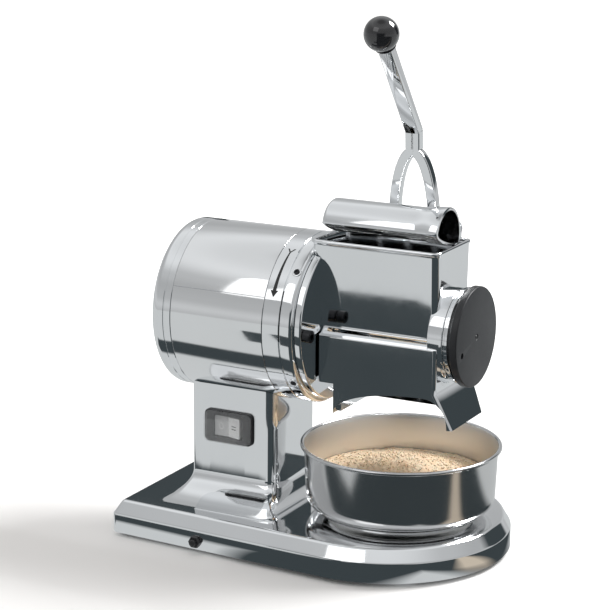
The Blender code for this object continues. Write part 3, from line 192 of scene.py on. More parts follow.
SATIN_BLACK = plastic("satin_black_plastic", (0.026, 0.028, 0.031), 0.36, 0.50)
COVER_BLACK = plastic("cover_black", (0.008, 0.009, 0.011), 0.38, 0.50)
PHENOLIC = plastic("phenolic_ball", (0.006, 0.006, 0.007), 0.03, 0.07, 300.0, 0.01, 1.0)
# One key plastic in two tones: the darker is painted shade, the paler painted light, and the paler also
# prints the off mark.
SHADED_KEY = plastic("key_painted_shade", (0.50, 0.51, 0.52), 0.28, 0.42)
LIT_KEY_AND_PRINT = plastic("key_painted_light_and_print", (0.72, 0.73, 0.74), 0.28, 0.42)
BLACK_KEY = plastic("black_switch", (0.02, 0.02, 0.022), 0.22, 0.36)
RUBBER = plastic("rubber", (0.018, 0.018, 0.018), 0.65, 0.85, 260.0, 0.3)
SCREW_BLACK = brushed_metal("black_oxide", (0.045, 0.045, 0.048), 0.25, 0.42, (1.0, 1.0, 1.0), 0.1)
# Near-black print for the arrow and the on mark, and also painted shade for the slot in the front ring's
# groove.
PRINT_AND_SLOT_SHADE_BLACK = plastic("print_and_slot_shade", (0.006, 0.006, 0.006), 0.30, 0.42, 500.0, 0.05)
COPPER = brushed_metal("windings", (0.55, 0.22, 0.09), 0.3, 0.5, (1.0, 30.0, 30.0), 0.3)
LAMINATED = brushed_metal("laminations", (0.24, 0.24, 0.25), 0.35, 0.55, (60.0, 1.0, 1.0), 0.3)
PALE_CAN = plastic("capacitor_can", (0.50, 0.51, 0.52), 0.3, 0.45)


def clear_boot():
    t = Tree("smoky_boot")
    cloud = t.noise(30.0, 3.0)
    t.set(
        Base_Color=t.mix(t.span(cloud, 0.0, 1.0), (0.40, 0.42, 0.43), (0.50, 0.52, 0.53)),
        Roughness=t.span(cloud, 0.06, 0.14),
        Alpha=0.17,
        IOR=1.42,
    )
    t.bump(t.noise(40.0, 2.0), 0.1, 0.0005)
    return t.mat


def crumbs(name, low, high):
    t = Tree(name)
    mottle = t.noise(300.0, 4.0, roughness=0.7)
    warm = t.noise(60.0, 3.0)
    first = t.mix(t.span(mottle, 0.0, 1.0), low, high)
    t.set(
        Base_Color=t.mix(t.span(warm, 0.0, 0.6), first, (0.78, 0.54, 0.32)),
        Roughness=t.span(mottle, 0.8, 0.98),
        Subsurface_Weight=0.08,
        Subsurface_Scale=0.002,
    )
    t.bump(t.noise(900.0, 5.0, roughness=0.8), 0.9, 0.0012)
    return t.mat


SMOKY = clear_boot()
CRUMB = crumbs("crumb_heap", (0.74, 0.56, 0.38), (0.92, 0.80, 0.62))
CRUMB_PALE = crumbs("crumb_grains", (0.80, 0.66, 0.48), (0.96, 0.88, 0.72))


# ------------------------------------------------------------------ building helpers
def sharpened(obj, angle=32.0):
    """Smooth shading that breaks at the edges sharper than angle."""
    obj.data.shade_smooth()
    obj.data.set_sharp_from_angle(angle=math.radians(angle))
    return obj


def link(name, bm, mat, angle=None):
    """Makes a scene object of a bmesh."""
    bmesh.ops.recalc_face_normals(bm, faces=bm.faces)
    mesh = bpy.data.meshes.new(name)
    bm.to_mesh(mesh)
    bm.free()
    mesh.materials.append(mat)
    obj = bpy.data.objects.new(name, mesh)
    SCENE.collection.objects.link(obj)
    if angle is not None:
        sharpened(obj, angle)
    return obj


def sind(degrees):
    return math.sin(math.radians(degrees))


def cosd(degrees):
    return math.cos(math.radians(degrees))


def skin(bm, rows, closed=True):
    """Quads between each row of vertices and the next; closed rows meet at their ends."""
    for a, b in zip(rows, rows[1:]):
        for i in range(len(a) if closed else len(a) - 1):
            j = (i + 1) % len(a)
            bm.faces.new((a[i], a[j], b[j], b[i]))


def loft(name, sections, mat=POLISHED, ring=False, angle=32.0):
    """A skin through rings of points; ring joins the last ring to the first."""
    bm = bmesh.new()
    rings = [[bm.verts.new(p) for p in section] for section in sections]
    skin(bm, rings + rings[:1] if ring else rings)
    if not ring:
        bm.faces.new(list(reversed(rings[0])))
        bm.faces.new(rings[-1])
    return link(name, bm, mat, angle)


def turned(name, profile, mat, origin, axis="Z", steps=128, angle=32.0):
    """A closed profile of (radius, height) turned about Z, X or -Y through origin."""
    bm = bmesh.new()
    origin = Vector(origin)
    columns = []
    for r, h in profile:
        column = []
        for i in range(steps if r > 1e-7 else 1):
            a = math.tau * i / steps
            u, v = r * math.cos(a), r * math.sin(a)
            p = {"Z": (u, v, h), "X": (h, u, v), "-Y": (u, -h, v)}[axis]
            column.append(bm.verts.new(origin + Vector(p)))
        columns.append(column)
    for a, b in zip(columns, columns[1:] + columns[:1]):
        if len(a) == 1 and len(b) == 1:
            continue
        for i in range(steps):
            j = (i + 1) % steps
            corners = (a[i % len(a)], a[j % len(a)], b[j % len(b)], b[i % len(b)])
            bm.faces.new(dict.fromkeys(corners))
    return link(name, bm, mat, angle)


def on_axis(name, profile, mat, x, steps=128):
    """A profile turned about the motor's axis, with its heights measured from x."""
    return turned(name, profile, mat, (x, 0, AXIS_Z), "X", steps)


def stub(r, length, rounding, segments=4):
    """The profile of a plain solid pin with rounded ends."""
    return softened([(0.0, length), (r, length), (r, 0.0), (0.0, 0.0)], rounding, segments)


def softened(profile, radius, segments=4):
    """Rounds the corners of a closed (radius, height) profile, apart from those on its axis."""
    made = []
    count = len(profile)
    for i, p in enumerate(profile):
        p = Vector(p)
        a = Vector(profile[i - 1]) - p
        b = Vector(profile[(i + 1) % count]) - p
        if p.x < 1e-7 or a.angle(b, math.pi) > math.radians(168):
            made.append(tuple(p))
            continue
        cut = min(radius, a.length * 0.45, b.length * 0.45)
        start, end = p + a.normalized() * cut, p + b.normalized() * cut
        for k in range(segments + 1):
            t = k / segments
            made.append(tuple(start * (1 - t) ** 2 + p * 2 * t * (1 - t) + end * t**2))
    return made


def arc(centre, radius, start, end, count):
    angles = [math.radians(start + (end - start) * i / count) for i in range(count + 1)]
    return [(centre[0] + radius * math.cos(a), centre[1] + radius * math.sin(a)) for a in angles]


def rounded_rectangle(x0, x1, y0, y1, radius, count=8, left=None, sides=1):
    """A rectangle with round corners, anticlockwise from +X +Y, with extra points on its sides."""
    left = radius if left is None else left
    corners = ((x1 - radius, y1 - radius, 0, radius), (x0 + left, y1 - left, 90, left),
               (x0 + left, y0 + left, 180, left), (x1 - radius, y0 + radius, 270, radius))
    points = []
    for k, (cx, cy, start, r) in enumerate(corners):
        points += arc((cx, cy), r, start, start + 90, count)
        nx, ny, nstart, nr = corners[(k + 1) % 4]
        a = Vector(points[-1])
        b = Vector(arc((nx, ny), nr, nstart, nstart, 1)[0])
        points += [tuple(a.lerp(b, i / sides)) for i in range(1, sides)]
    return points


def at(points, z):
    return [(x, y, z) for x, y in points]


def boolean(obj, cutter):
    """Cuts one piece out of another and drops the cutter."""
    modifier = obj.modifiers.new("cut", "BOOLEAN")
    modifier.operation = "DIFFERENCE"
    modifier.solver = "EXACT"
    modifier.object = cutter
    bpy.context.view_layer.update()
    graph = bpy.context.evaluated_depsgraph_get()
    mesh = bpy.data.meshes.new_from_object(obj.evaluated_get(graph))
    obj.modifiers.clear()
    old = obj.data
    obj.data = mesh
    bpy.data.meshes.remove(old)
    mesh.name = obj.name
    bpy.data.objects.remove(cutter)
    return obj


def edged(obj, width, segments=3, angle=34.0):
    """Rounded edges with shading that stays flat on the faces."""
    bevel = obj.modifiers.new("edges", "BEVEL")
    bevel.width = width
    bevel.segments = segments
    bevel.limit_method = "ANGLE"
    bevel.angle_limit = math.radians(angle)
    bevel.harden_normals = True
    weighted = obj.modifiers.new("normals", "WEIGHTED_NORMAL")
    weighted.keep_sharp = True
    obj.data.shade_smooth()
    return obj


def block(name, low, high, mat=POLISHED):
    bm = bmesh.new()
    bmesh.ops.create_cube(bm, size=1.0)
    low, high = Vector(low), Vector(high)
    for vert in bm.verts:
        vert.co = Vector(low[i] + (vert.co[i] + 0.5) * (high[i] - low[i]) for i in range(3))
    return link(name, bm, mat)


def rod(name, radius, start, end, mat=POLISHED, sides=48):
    start, end = Vector(start), Vector(end)
    along = end - start
    bm = bmesh.new()
    bmesh.ops.create_cone(bm, cap_ends=True, segments=sides, radius1=radius, radius2=radius,
                          depth=along.length)
    turn = along.to_track_quat("Z", "Y").to_matrix().to_4x4()
    bmesh.ops.transform(bm, matrix=Matrix.Translation((start + end) / 2) @ turn, verts=bm.verts)
    return link(name, bm, mat, 32.0)


def ride(obj, body, *nodes, slot="polished_aluminium"):
    """Puts a piece's place into its mesh, ties it to its body and hides the nodes it stands for."""
    obj.data.transform(obj.matrix_world)
    obj.matrix_world = Matrix.Identity(4)
    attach(obj, body)
    if nodes:
        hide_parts(*nodes)
    return obj


def placed(node):
    """A CAD node's lowest corner, its middle and its size."""
    low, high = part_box(node)
    return low, (low + high) / 2, high - low


# ------------------------------------------------------------------ base and pedestal
def side_lean():
    corner = Vector((BASE_LEFT - ROUND_X, LEFT_HALF))
    return math.atan2(-corner.x, corner.y) - math.acos(BASE_R / corner.length)


def side_y(x, inset=0.0):
    lean = side_lean()
    return (BASE_R - inset + (x - ROUND_X) * math.sin(lean)) / math.cos(lean)


def base_outline(inset):
    lean = side_lean()
    x0 = BASE_LEFT + inset
    y_left = side_y(x0, inset)
    small = max(0.006 - inset * 0.3, 0.003)
    end = math.degrees(lean)
    points = arc((ROUND_X, 0.0), BASE_R - inset, -90 - end, 90 + end, 96)
    points += arc((x0 + small, y_left - small), small, 90 + end, 180, 8)
    points += arc((x0 + small, small - y_left), small, 180, 270 - end, 8)
    return points


def make_base():
    rim, bevel, inset = 0.023, 0.0135, 0.0095
    levels = [(0.0016, 0.0), (0.0006, 0.0004), (0.0, 0.0014), (0.0, rim - 0.0012), (0.0003, rim - 0.0003),
              (0.0010, rim + 0.0005)]
    levels += [(inset - 0.0022, rim + bevel - 0.0024), (inset - 0.0008, rim + bevel - 0.0008),
               (inset + 0.0008, rim + bevel - 0.0001), (inset + 0.0022, rim + bevel),
               (inset + 0.02, rim + bevel)]
    sections = [at(base_outline(i), BASE_Z + z) for i, z in levels]
    slab = loft("base_slab", sections, angle=60.0)
    boolean(slab, block("cutter", (-0.19, -0.11, BASE_Z - 0.01), (0.15, 0.11, BASE_Z + 0.018)))
    sharpened(slab)
    ride(slab, "base", "base_casting")

    # The bowl stands on a low round seat with a hollow cove around it.
    top = BASE_TOP + 0.0050
    edge, cove = 0.0842, 0.011
    seat = [(0.0, top), (edge - 0.0042, top), (edge - 0.0017, top - 0.0006), (edge, top - 0.0026)]
    seat += [(edge + cove * (1 - cosd(a)), top - 0.0026 - 0.0023 * sind(a)) for a in range(15, 91, 15)]
    seat += [(edge + cove, BASE_TOP - 0.002), (0.0, BASE_TOP - 0.002)]
    ride(turned("bowl_seat", seat, POLISHED, (BOWL_X, 0.0, 0.0), steps=160), "base")


def pedestal_section(share, z):
    """The pedestal's outline where it has flared out by this share of its foot."""
    half = PEDESTAL_HALF + 0.053 * share
    side = 0.023 * share
    grow = 0.010 * share
    x0 = PEDESTAL_X0 - side
    x1 = PEDESTAL_X0 + PEDESTAL_LENGTH + side
    return at(rounded_rectangle(x0, x1, -half, half, 0.010 + grow, 10, 0.004 + grow, 10), z)


PEDESTAL_X0 = BASE_LEFT + 0.061
PEDESTAL_LENGTH = 0.103
PEDESTAL_HALF = 0.050
FLARE_HEIGHT = 0.026


def make_pedestal():
    sections = []
    for i in range(22):
        down = cosd(2 + 88 * i / 21)
        share = 1 - math.sqrt(max(1 - down**2, 0.0))
        sections.append(pedestal_section(share, BASE_TOP + FLARE_HEIGHT * (1 - down) + 0.00005))
    sections.append(pedestal_section(0.0, AXIS_Z - BARREL_R * 0.62))
    pedestal = loft("pedestal", sections, angle=50.0)
    barrel = rod("cutter", BARREL_R + 0.0003, (BASE_LEFT, 0, AXIS_Z), (0.05, 0, AXIS_Z), sides=192)
    boolean(pedestal, barrel)
    low = Vector((rocker_low.x - 0.003, -PEDESTAL_HALF - 0.02, rocker_low.z - 0.002))
    high = Vector((rocker_high.x + 0.003, -PEDESTAL_HALF + 0.02, rocker_high.z + 0.002))
    boolean(pedestal, block("cutter", low, high))
    ride(sharpened(pedestal, 40.0), "base")


# ------------------------------------------------------------------ motor
def make_motor():
    r = BARREL_R
    wall = r - 0.005
    length = barrel_high.x - barrel_low.x
    tube = softened([(r, length), (r, 0.0), (wall, 0.0), (wall, length)], 0.0006)
    ride(on_axis("motor_tube", tube, POLISHED_TUBE, barrel_low.x, 192), "base", "motor_barrel")

    cap = cap_high.x - cap_low.x
    edge = [(r, cap - 0.0005), (r - 0.0004, cap), (wall, cap), (wall, 0.012), (r - 0.012, 0.006)]
    edge += [(0.010, 0.005), (0.0, 0.005), (0.0, 0.0)]
    edge += [(0.052, 0.0), (0.053, 0.0003), (0.054, 0.0011), (0.056, 0.0011), (0.057, 0.0003), (0.058, 0.0)]
    big = 0.012
    edge += [(r - big + big * sind(a), big * (1 - cosd(a)) * 0.92) for a in range(0, 91, 6)]
    edge += [(r, 0.0175), (r - 0.0004, 0.0180), (r - 0.0004, 0.0188), (r, 0.0193)]
    ride(on_axis("motor_cap", edge, POLISHED, cap_low.x, 192), "base", "motor_rear_cap")

    span = ring_high.x - ring_low.x
    ring = [(r - 0.0004, 0.0), (r, 0.0005), (r, 0.0195), (r - 0.0003, 0.0199)]
    ring += [(r - 0.0012, 0.0200), (r - 0.0012, 0.0212), (r - 0.0003, 0.0213), (r, 0.0217)]
    ring += [(r, span - 0.0040), (r - 0.0003, span - 0.0026), (r - 0.0012, span - 0.0012)]
    ring += [(r - 0.0026, span - 0.0003), (r - 0.0045, span), (0.014, span), (0.014, span - 0.008)]
    ring += [(r - 0.008, span - 0.008), (r - 0.008, 0.0)]
    ride(on_axis("motor_ring", ring, POLISHED, ring_low.x, 192), "base", "motor_front_ring")

    # A fine lengthwise seam where the tube was rolled.
    y, z = -r * cosd(23) * 0.9985, AXIS_Z + r * sind(23)
    ends = (barrel_low.x + 0.0008, y, z), (barrel_high.x - 0.0008, y, z)
    seam = rod("tube_seam", 0.00035, *ends, MACHINED, 8)
    ride(seam, "base", slot="bright_steel")


def make_arrow():
    """The black rotation arrow printed on the front ring, and beside it a black strip in the ring's groove
    that is painted shade standing in for a slot.
    """
    x_mid = ring_low.x + 0.0095

    def strip(bm, r, stations):
        """A ribbon on the ring: each station is an angle, a place along the axis and a half width."""
        rows = []
        for a, x, half in stations:
            rows.append([bm.verts.new((x + s * half, -r * cosd(a), AXIS_Z + r * sind(a))) for s in (-1, 1)])
        skin(bm, rows, closed=False)

    bm = bmesh.new()
    r = BARREL_R + 0.00012
    steps = [i / 24 for i in range(25)]
    strip(bm, r, [(59.0 - 31.0 * t, x_mid + 0.0012 * (1 - t), 0.0007 + 0.0014 * t) for t in steps])
    strip(bm, r, [(28.5 - 4.6 * i / 6, x_mid, 0.0046 * (1 - i / 6) + 0.00002) for i in range(7)])
    for sign in (-1, 1):
        leg = [(58.2 + 3.4 * i / 4, x_mid + 0.0012 + sign * 0.0038 * i / 4, 0.0009) for i in range(5)]
        strip(bm, r, leg)
    ride(link("rotation_arrow", bm, PRINT_AND_SLOT_SHADE_BLACK, 60.0), "base", slot="black_plastic")

    # A black ribbon lying in the ring's groove: painted shade in place of a slot's dark inside.
    bm = bmesh.new()
    strip(bm, BARREL_R - 0.00105, [(29 - 34 * i / 40, ring_low.x + 0.0206, 0.00055) for i in range(41)])
    ride(link("ring_slot_painted_shade", bm, PRINT_AND_SLOT_SHADE_BLACK, 60.0), "base", slot="black_plastic")


def make_ring_screws():
    head_profile = softened([(0.0, 0.0016), (0.0031, 0.0016), (0.0032, -0.001), (0.0, -0.001)], 0.0005)
    seat_profile = [(0.0036, 0.0007), (0.0052, 0.0005), (0.0056, -0.0006), (0.0036, -0.0006)]
    seat_profile = softened(seat_profile, 0.0003)
    for node in ("ring_screw_front_upper", "ring_screw_front_lower",
                 "ring_screw_back_upper", "ring_screw_back_lower"):
        middle = placed(node)[1]
        out = Vector((0, middle.y, middle.z - AXIS_Z)).normalized()
        place = Matrix.Translation(Vector((middle.x, 0, AXIS_Z)) + out * BARREL_R)
        place = place @ out.to_track_quat("Z", "Y").to_matrix().to_4x4()
        head = turned(node + "_head", head_profile, SCREW_BLACK, (0, 0, 0), steps=32)
        boolean(head, rod("cutter", 0.0016, (0, 0, 0.0006), (0, 0, 0.004), sides=6))
        head.matrix_world = place
        ride(sharpened(head), "base", node, slot="black_screws")
        seat = turned(node + "_seat", seat_profile, POLISHED, (0, 0, 0), steps=40)
        seat.matrix_world = place
        ride(seat, "base")


def make_flange_bolts():
    for node in ("flange_bolt_front", "flange_bolt_back"):
        low, middle, size = placed(node)
        profile = stub(size.z / 2, size.x, 0.0009)
        head = turned(node + "_head", profile, SCREW_BLACK, (low.x, middle.y, middle.z), "X", 40)
        start = (low.x + 0.004, middle.y, middle.z)
        boolean(head, rod("cutter", 0.0036, start, (low.x + size.x + 0.01, middle.y, middle.z), sides=6))
        ride(sharpened(head), "base", node, slot="black_screws")


# ------------------------------------------------------------------ grater head
COVE_TOP = AXIS_Z + 0.004
COVE_FOOT = AXIS_Z - 0.006
CHUTE_KNEE = AXIS_Z - 0.0551  # below it the chute's right wall leans out
CHUTE_THROW = 0.0195          # how far it has leant out at the bottom
CHUTE_BOTTOM = AXIS_Z - 0.091
CHUTE_HALF = 0.052
CHUTE_WALL = 0.0038
NECK = HOPPER_HALF - RIM - 0.004   # half the hopper's depth where it meets the drum chamber
FLANGE_R = 0.088
BOSS_R, BOSS_BORE, BOSS_SUNK = 0.050, 0.0385, 0.012


def hopper_plan(z, inset, sides=8):
    down = (HOPPER_TOP - z) / (HOPPER_TOP - COVE_TOP)
    x0 = HOPPER_X0 + RIM + 0.005 * down + inset
    x1 = HOPPER_X1 - RIM - inset
    half = HOPPER_HALF - RIM - 0.004 * down - inset
    return rounded_rectangle(x0, x1, -half, half, max(0.008 - inset, 0.0035), 8, None, sides)


def open_to_hopper(obj):
    """Clears the hopper's inside in a piece that reaches into it."""
    sections = [at(hopper_plan(z, WALL - 0.0003), z) for z in (COVE_TOP, HOPPER_TOP + 0.002)]
    return sharpened(boolean(obj, loft("cutter", sections)))


def make_hopper():
    top = HOPPER_TOP
    levels = [COVE_FOOT + (top - 0.0066 - COVE_FOOT) * i / 8 for i in range(9)]
    levels += [top - 0.0062, top - 0.0058]
    sections = [at(hopper_plan(z, 0.0), z) for z in levels]
    bead = 0.0023
    for a in range(-60, 181, 20):
        inset = 0.0011 - RIM * 0.1 - bead * cosd(a)
        sections.append(at(hopper_plan(top, inset), top - bead + bead * sind(a)))
    start, end = top - 0.0045, COVE_FOOT - 0.006
    sections += [at(hopper_plan(z, WALL), z) for z in [start + (end - start) * i / 8 for i in range(9)]]
    ride(loft("hopper", sections, ring=True, angle=50.0), "base", "head_casting")


def chute_right(z):
    return CHAMBER_X1 + CHUTE_THROW * max(CHUTE_KNEE - z, 0.0) / (CHUTE_KNEE - CHUTE_BOTTOM)


def chute_back(z):
    """How far the chute's back wall is behind the axis; it comes forward towards the bottom."""
    start = AXIS_Z - 0.03
    down = min(max((start - z) / (start - CHUTE_BOTTOM), 0.0), 1.0)
    return CHUTE_HALF - (CHUTE_HALF - 0.032) * down**1.3


def chute_plan(z, x0, x1, front, back):
    return at(rounded_rectangle(x0, x1, -front, back, 0.004, 6, None, 6), z)


def make_chute():
    x0, x1, half, w = CHAMBER_X0, CHAMBER_X1, CHUTE_HALF, CHUTE_WALL
    outer = [chute_plan(z, x0, chute_right(z), half, chute_back(z))
             for z in (CHUTE_BOTTOM, (CHUTE_BOTTOM + CHUTE_KNEE) / 2, CHUTE_KNEE)]
    outer += [chute_plan(z, x0, x1, half, chute_back(z))
              for z in (CHUTE_KNEE + 0.012, AXIS_Z - 0.03, COVE_FOOT - 0.0015)]
    outer.append(chute_plan(COVE_FOOT - 0.0004, x0, x1, half - 0.0002, half - 0.0002))
    for i in range(1, 11):
        shrink, rise = sind(9 * i), 1 - cosd(9 * i)
        edge = half - (half - NECK + 0.0004) * shrink
        z = COVE_FOOT + (COVE_TOP - COVE_FOOT) * rise
        outer.append(chute_plan(z, x0 - 0.001 * shrink, x1 - 0.002 * shrink, edge, edge))
    chute = loft("chute", outer, angle=34.0)

    step = 0.019              # below the drum the left wall stands this much further in
    inner = [chute_plan(z, x0 + w + step, chute_right(z) - w, half - w, chute_back(z) - w)
             for z in (CHUTE_BOTTOM - 0.004, AXIS_Z - 0.060)]
    inner += [chute_plan(z, x0 + w, x1 - w, half - w, chute_back(z) - w)
              for z in (AXIS_Z - 0.050, AXIS_Z - 0.03, COVE_FOOT - 0.003)]
    inner.append(chute_plan(COVE_TOP + 0.001, x0 + w, x1 - w - 0.002, NECK - WALL, NECK - WALL))
    boolean(chute, loft("cutter", inner))
    low = (FLANGE_X1 - 0.001, -0.2, CHUTE_BOTTOM - 0.01)
    boolean(chute, block("cutter", low, (x0 + step, 0.2, AXIS_Z - 0.058)))
    drum_room = (drum_high.z - drum_low.z) / 2 + 0.0025
    boolean(chute, rod("cutter", drum_room, (x1 - 0.02, 0, AXIS_Z), (x1 + 0.03, 0, AXIS_Z), sides=96))

    # The arch in the front wall's lower edge.
    left, right = x0 + step, x1 + CHUTE_THROW - 0.006
    peak, rise, foot = left + (right - left) * 0.8, 0.031, CHUTE_BOTTOM - 0.01
    arch = [(right, foot)]
    arch += [(peak + (right - peak) * u, CHUTE_BOTTOM + rise * v) for u, v in arc((0, 0), 1, 0, 85, 14)]
    arch += [(peak - (peak - left) * u, CHUTE_BOTTOM + rise * v)
             for u, v in reversed(arc((0, 0), 1, 0, 90, 28))]
    arch.append((left, foot))
    boolean(chute, loft("cutter", [[(x, y, z) for x, z in arch] for y in (-0.08, -half + 0.012)]))
    edged(chute, 0.0006, 2, 30.0)
    ride(chute, "base")

    long = end_low.x + 0.005 - 0.0003 - x1 + BOSS_SUNK
    profile = softened([(BOSS_R, long), (BOSS_R, 0.0), (BOSS_BORE, 0.0), (BOSS_BORE, long)], 0.0008)
    boss = on_axis("end_boss", profile, POLISHED, x1 - BOSS_SUNK)
    ride(open_to_hopper(boss), "base")


def make_flange():
    r, bore = FLANGE_R, 0.0185
    t = FLANGE_X1 - FLANGE_X0
    profile = [(bore, t), (r - 0.0022, t), (r - 0.0010, t - 0.0003)]
    profile += [(r - 0.0003, t - 0.0010), (r, t - 0.0022)]
    profile += [(r, 0.0008), (r - 0.0008, 0.0), (bore, 0.0)]
    ride(open_to_hopper(on_axis("head_flange", profile, POLISHED, FLANGE_X0, 160)), "base")
    web = block("flange_web", (FLANGE_X0 + 0.001, -NECK + 0.0035, AXIS_Z - 0.035),
                (CHAMBER_X0 + 0.004, NECK - 0.0035, HOPPER_TOP - 0.012))
    ride(edged(open_to_hopper(web), 0.0006), "base")
    outline = [(FLANGE_X0 + 0.001, HOPPER_TOP - 0.02), (CHAMBER_X0 - 0.002, HOPPER_TOP - 0.06)]
    outline += [(CHAMBER_X0 + 0.001, AXIS_Z + 0.030), (FLANGE_X0 + 0.001, AXIS_Z + 0.030)]
    for sign, name in ((-1, "front"), (1, "back")):
        sides = [[(x, sign * y, z) for x, z in outline] for y in (NECK - 0.004, NECK + 0.0005)]
        gusset = loft("flange_gusset_" + name, sides, angle=None)
        ride(edged(gusset, 0.0008), "base")


def make_lugs():
    half = (pin_high.x - pin_low.x) / 2
    outline = arc((PIN_Y, PIN_Z), 0.0072, -10, 190, 20)
    outline += [(PIN_Y - 0.0072, HOPPER_TOP - 0.012), (PIN_Y - 0.004, HOPPER_TOP - 0.028)]
    outline += [(PIN_Y + 0.001, HOPPER_TOP - 0.028), (PIN_Y + 0.0065, HOPPER_TOP - 0.012)]
    for k, x in enumerate((LEVER_X - half + 0.007, LEVER_X + half - 0.007)):
        faces = [[(side, y, z) for y, z in outline] for side in (x - 0.005, x + 0.005)]
        ear = loft("hinge_ear_%d" % k, faces)
        ride(edged(ear, 0.0009), "base")
    profile = stub((pin_high.z - pin_low.z) / 2, 2 * half, 0.0008)
    pin = turned("pin", profile, MACHINED, (pin_low.x, PIN_Y, PIN_Z), "X", 40)
    ride(pin, "base", "hinge_pin", slot="bright_steel")


# ------------------------------------------------------------------ drum, end ring and cover
def make_drum():
    r = (drum_high.z - drum_low.z) / 2 - 0.0006
    length = drum_high.x - drum_low.x
    profile = softened([(r, length), (r, 0.0), (r - 0.0010, 0.0), (r - 0.0010, length)], 0.0003, 2)
    tube = on_axis("drum_tube", profile, DRUM_STEEL, drum_low.x, 96)
    ride(tube, "rotor", "grating_drum", slot="stainless_steel")
    bm = bmesh.new()
    rows, around, tooth = 26, 44, 0.0013
    for i in range(rows):
        for j in range(around):
            x = drum_low.x + 0.005 + (length - 0.010) * i / (rows - 1)
            a = math.tau * (j + 0.5 * (i % 2)) / around
            out = Vector((0, math.cos(a), math.sin(a)))
            side = Vector((0, -math.sin(a), math.cos(a)))
            foot = Vector((x, 0, AXIS_Z)) + out * (r - 0.00005)
            ring = [bm.verts.new(foot + Vector((tooth * u, 0, 0)) + side * tooth * v)
                    for u, v in arc((0, 0), 1, 0, 300, 5)]
            tip = bm.verts.new(foot + out * 0.0006 + side * 0.0008)
            for k in range(6):
                bm.faces.new((ring[k], ring[(k + 1) % 6], tip))
    ride(link("drum_teeth", bm, DRUM_STEEL), "rotor", slot="stainless_steel")


def make_end():
    x0 = end_low.x + 0.005
    length = end_high.x - x0
    bore, r1, r2 = 0.0105, 0.0494, 0.0514
    profile = [(bore, length), (0.0455, length), (0.0460, length - 0.0005), (0.0460, length - 0.0028)]
    profile += [(r2 - 0.0006, length - 0.0030), (r2, length - 0.0036), (r2, length - 0.0064)]
    profile += [(r2 - 0.0006, length - 0.0070), (r1, length - 0.0073), (r1, 0.0004), (r1 - 0.0004, 0.0)]
    profile += [(0.0367, 0.0), (0.0367, -0.005), (bore, -0.005)]
    ride(on_axis("closing_ring", profile, POLISHED, x0), "end_ring", "end_ring")
    # Grip ribs on the ring's edge.
    bm = bmesh.new()
    rib = Matrix.Translation((0, 0, r2)) @ Matrix.Diagonal((0.0026, 0.0016, 0.0005, 1.0))
    middle = Matrix.Translation((x0 + length - 0.0050, 0, AXIS_Z))
    for i in range(60):
        turn = Matrix.Rotation(math.tau * i / 60, 4, "X")
        bmesh.ops.create_cube(bm, size=1.0, matrix=middle @ turn @ rib)
    ride(link("ring_grip", bm, POLISHED), "end_ring")

    r = (cover_high.z - cover_low.z) / 2
    thick = cover_high.x - cover_low.x
    profile = [(0.0, thick), (0.0014, thick), (0.0018, thick - 0.0006), (0.0030, thick - 0.0006)]
    profile += [(0.0036, thick), (r - 0.0016, thick), (r - 0.0007, thick - 0.0003)]
    profile += [(r - 0.0001, thick - 0.0011), (r, thick - 0.002)]
    profile += [(r, 0.0012), (r - 0.0012, 0.0), (0.0, 0.0)]
    cover = on_axis("cover_disc", profile, COVER_BLACK, cover_low.x, 160)
    y, z = -0.038, AXIS_Z - 0.012
    boolean(cover, rod("cutter", 0.0033, (cover_low.x - 0.01, y, z), (cover_high.x + 0.01, y, z), sides=40))
    ride(sharpened(cover), "cover", "cover_knob", slot="black_plastic")


# ------------------------------------------------------------------ presser and lever
PRESSER_TILT = math.radians(-17.0)
PRESSER_R = 0.0315
PRESSER_REACH = 0.0535        # hinge pin to the tube's middle
PRESSER_WAIST = 0.0024        # how much slimmer the tube is than its open, collar-like end
FORK_RISE = 0.1025            # hinge pin to where the lever's legs meet
FORK_LEAN = 0.0060
LEG = 0.0055
LEG_SPREAD = 0.02325


def presser_point(x, y, z):
    """A point of the tube, given square to it, where it rests tilted over the hopper."""
    z -= 0.004
    cos, sin = math.cos(PRESSER_TILT), math.sin(PRESSER_TILT)
    return (x, PIN_Y - PRESSER_REACH + y * cos - z * sin, PIN_Z + 0.0060 + y * sin + z * cos)


def presser_section(shrink):
    """A half round with a shallow belly below and rounded corners."""
    radius = PRESSER_R - shrink
    belly = (0.008 - shrink) * 0.92
    edge = 0.0022
    points = arc((0.0, 0.0), radius, 3, 177, 60)
    points += arc((-radius + edge, -0.0005), edge, 180, 250, 5)
    for i in range(1, 24):
        a = math.pi * (1 + i / 24)
        points.append(((radius - 0.0006) * math.cos(a), -0.0014 + belly * math.sin(a)))
    points += arc((radius - edge, -0.0005), edge, 290, 360, 5)
    return points


def make_presser():
    def shells(stations):
        return [[presser_point(x, y, z) for y, z in presser_section(shrink)] for x, shrink in stations]

    x0, x1 = presser_low.x, presser_high.x
    waist, big = PRESSER_WAIST, 0.0052
    ends = [(x0 + big * (1 - cosd(a)), waist + big * (1 - sind(a)))
            for a in (2, 8, 18, 30, 42, 54, 66, 78, 90)]
    ends += [(x1 - 0.030 + 0.024 * i / 10, waist * (0.5 + 0.5 * math.cos(math.pi * i / 10)))
             for i in range(11)]
    ends += [(x1 - 0.0006, 0.0), (x1 - 0.0002, 0.0002), (x1, 0.0006)]
    hollow = [(x0 + 0.010, 0.0032 + waist), (x1 - 0.030, 0.0032 + waist)]
    hollow += [(x1 - 0.010, 0.0032), (x1 + 0.01, 0.0030)]
    shell = boolean(loft("presser_shell", shells(ends)), loft("cutter", shells(hollow)))
    ride(sharpened(shell), "presser", "presser")
    back = PIN_Y - PRESSER_REACH + PRESSER_R * 0.8
    foot = block("presser_foot", (LEVER_X - 0.03125, back - 0.008, PIN_Z + 0.0042),
                 (LEVER_X + 0.03125, PIN_Y - 0.0086, PIN_Z + 0.0118))
    ride(edged(foot, 0.0018), "presser")


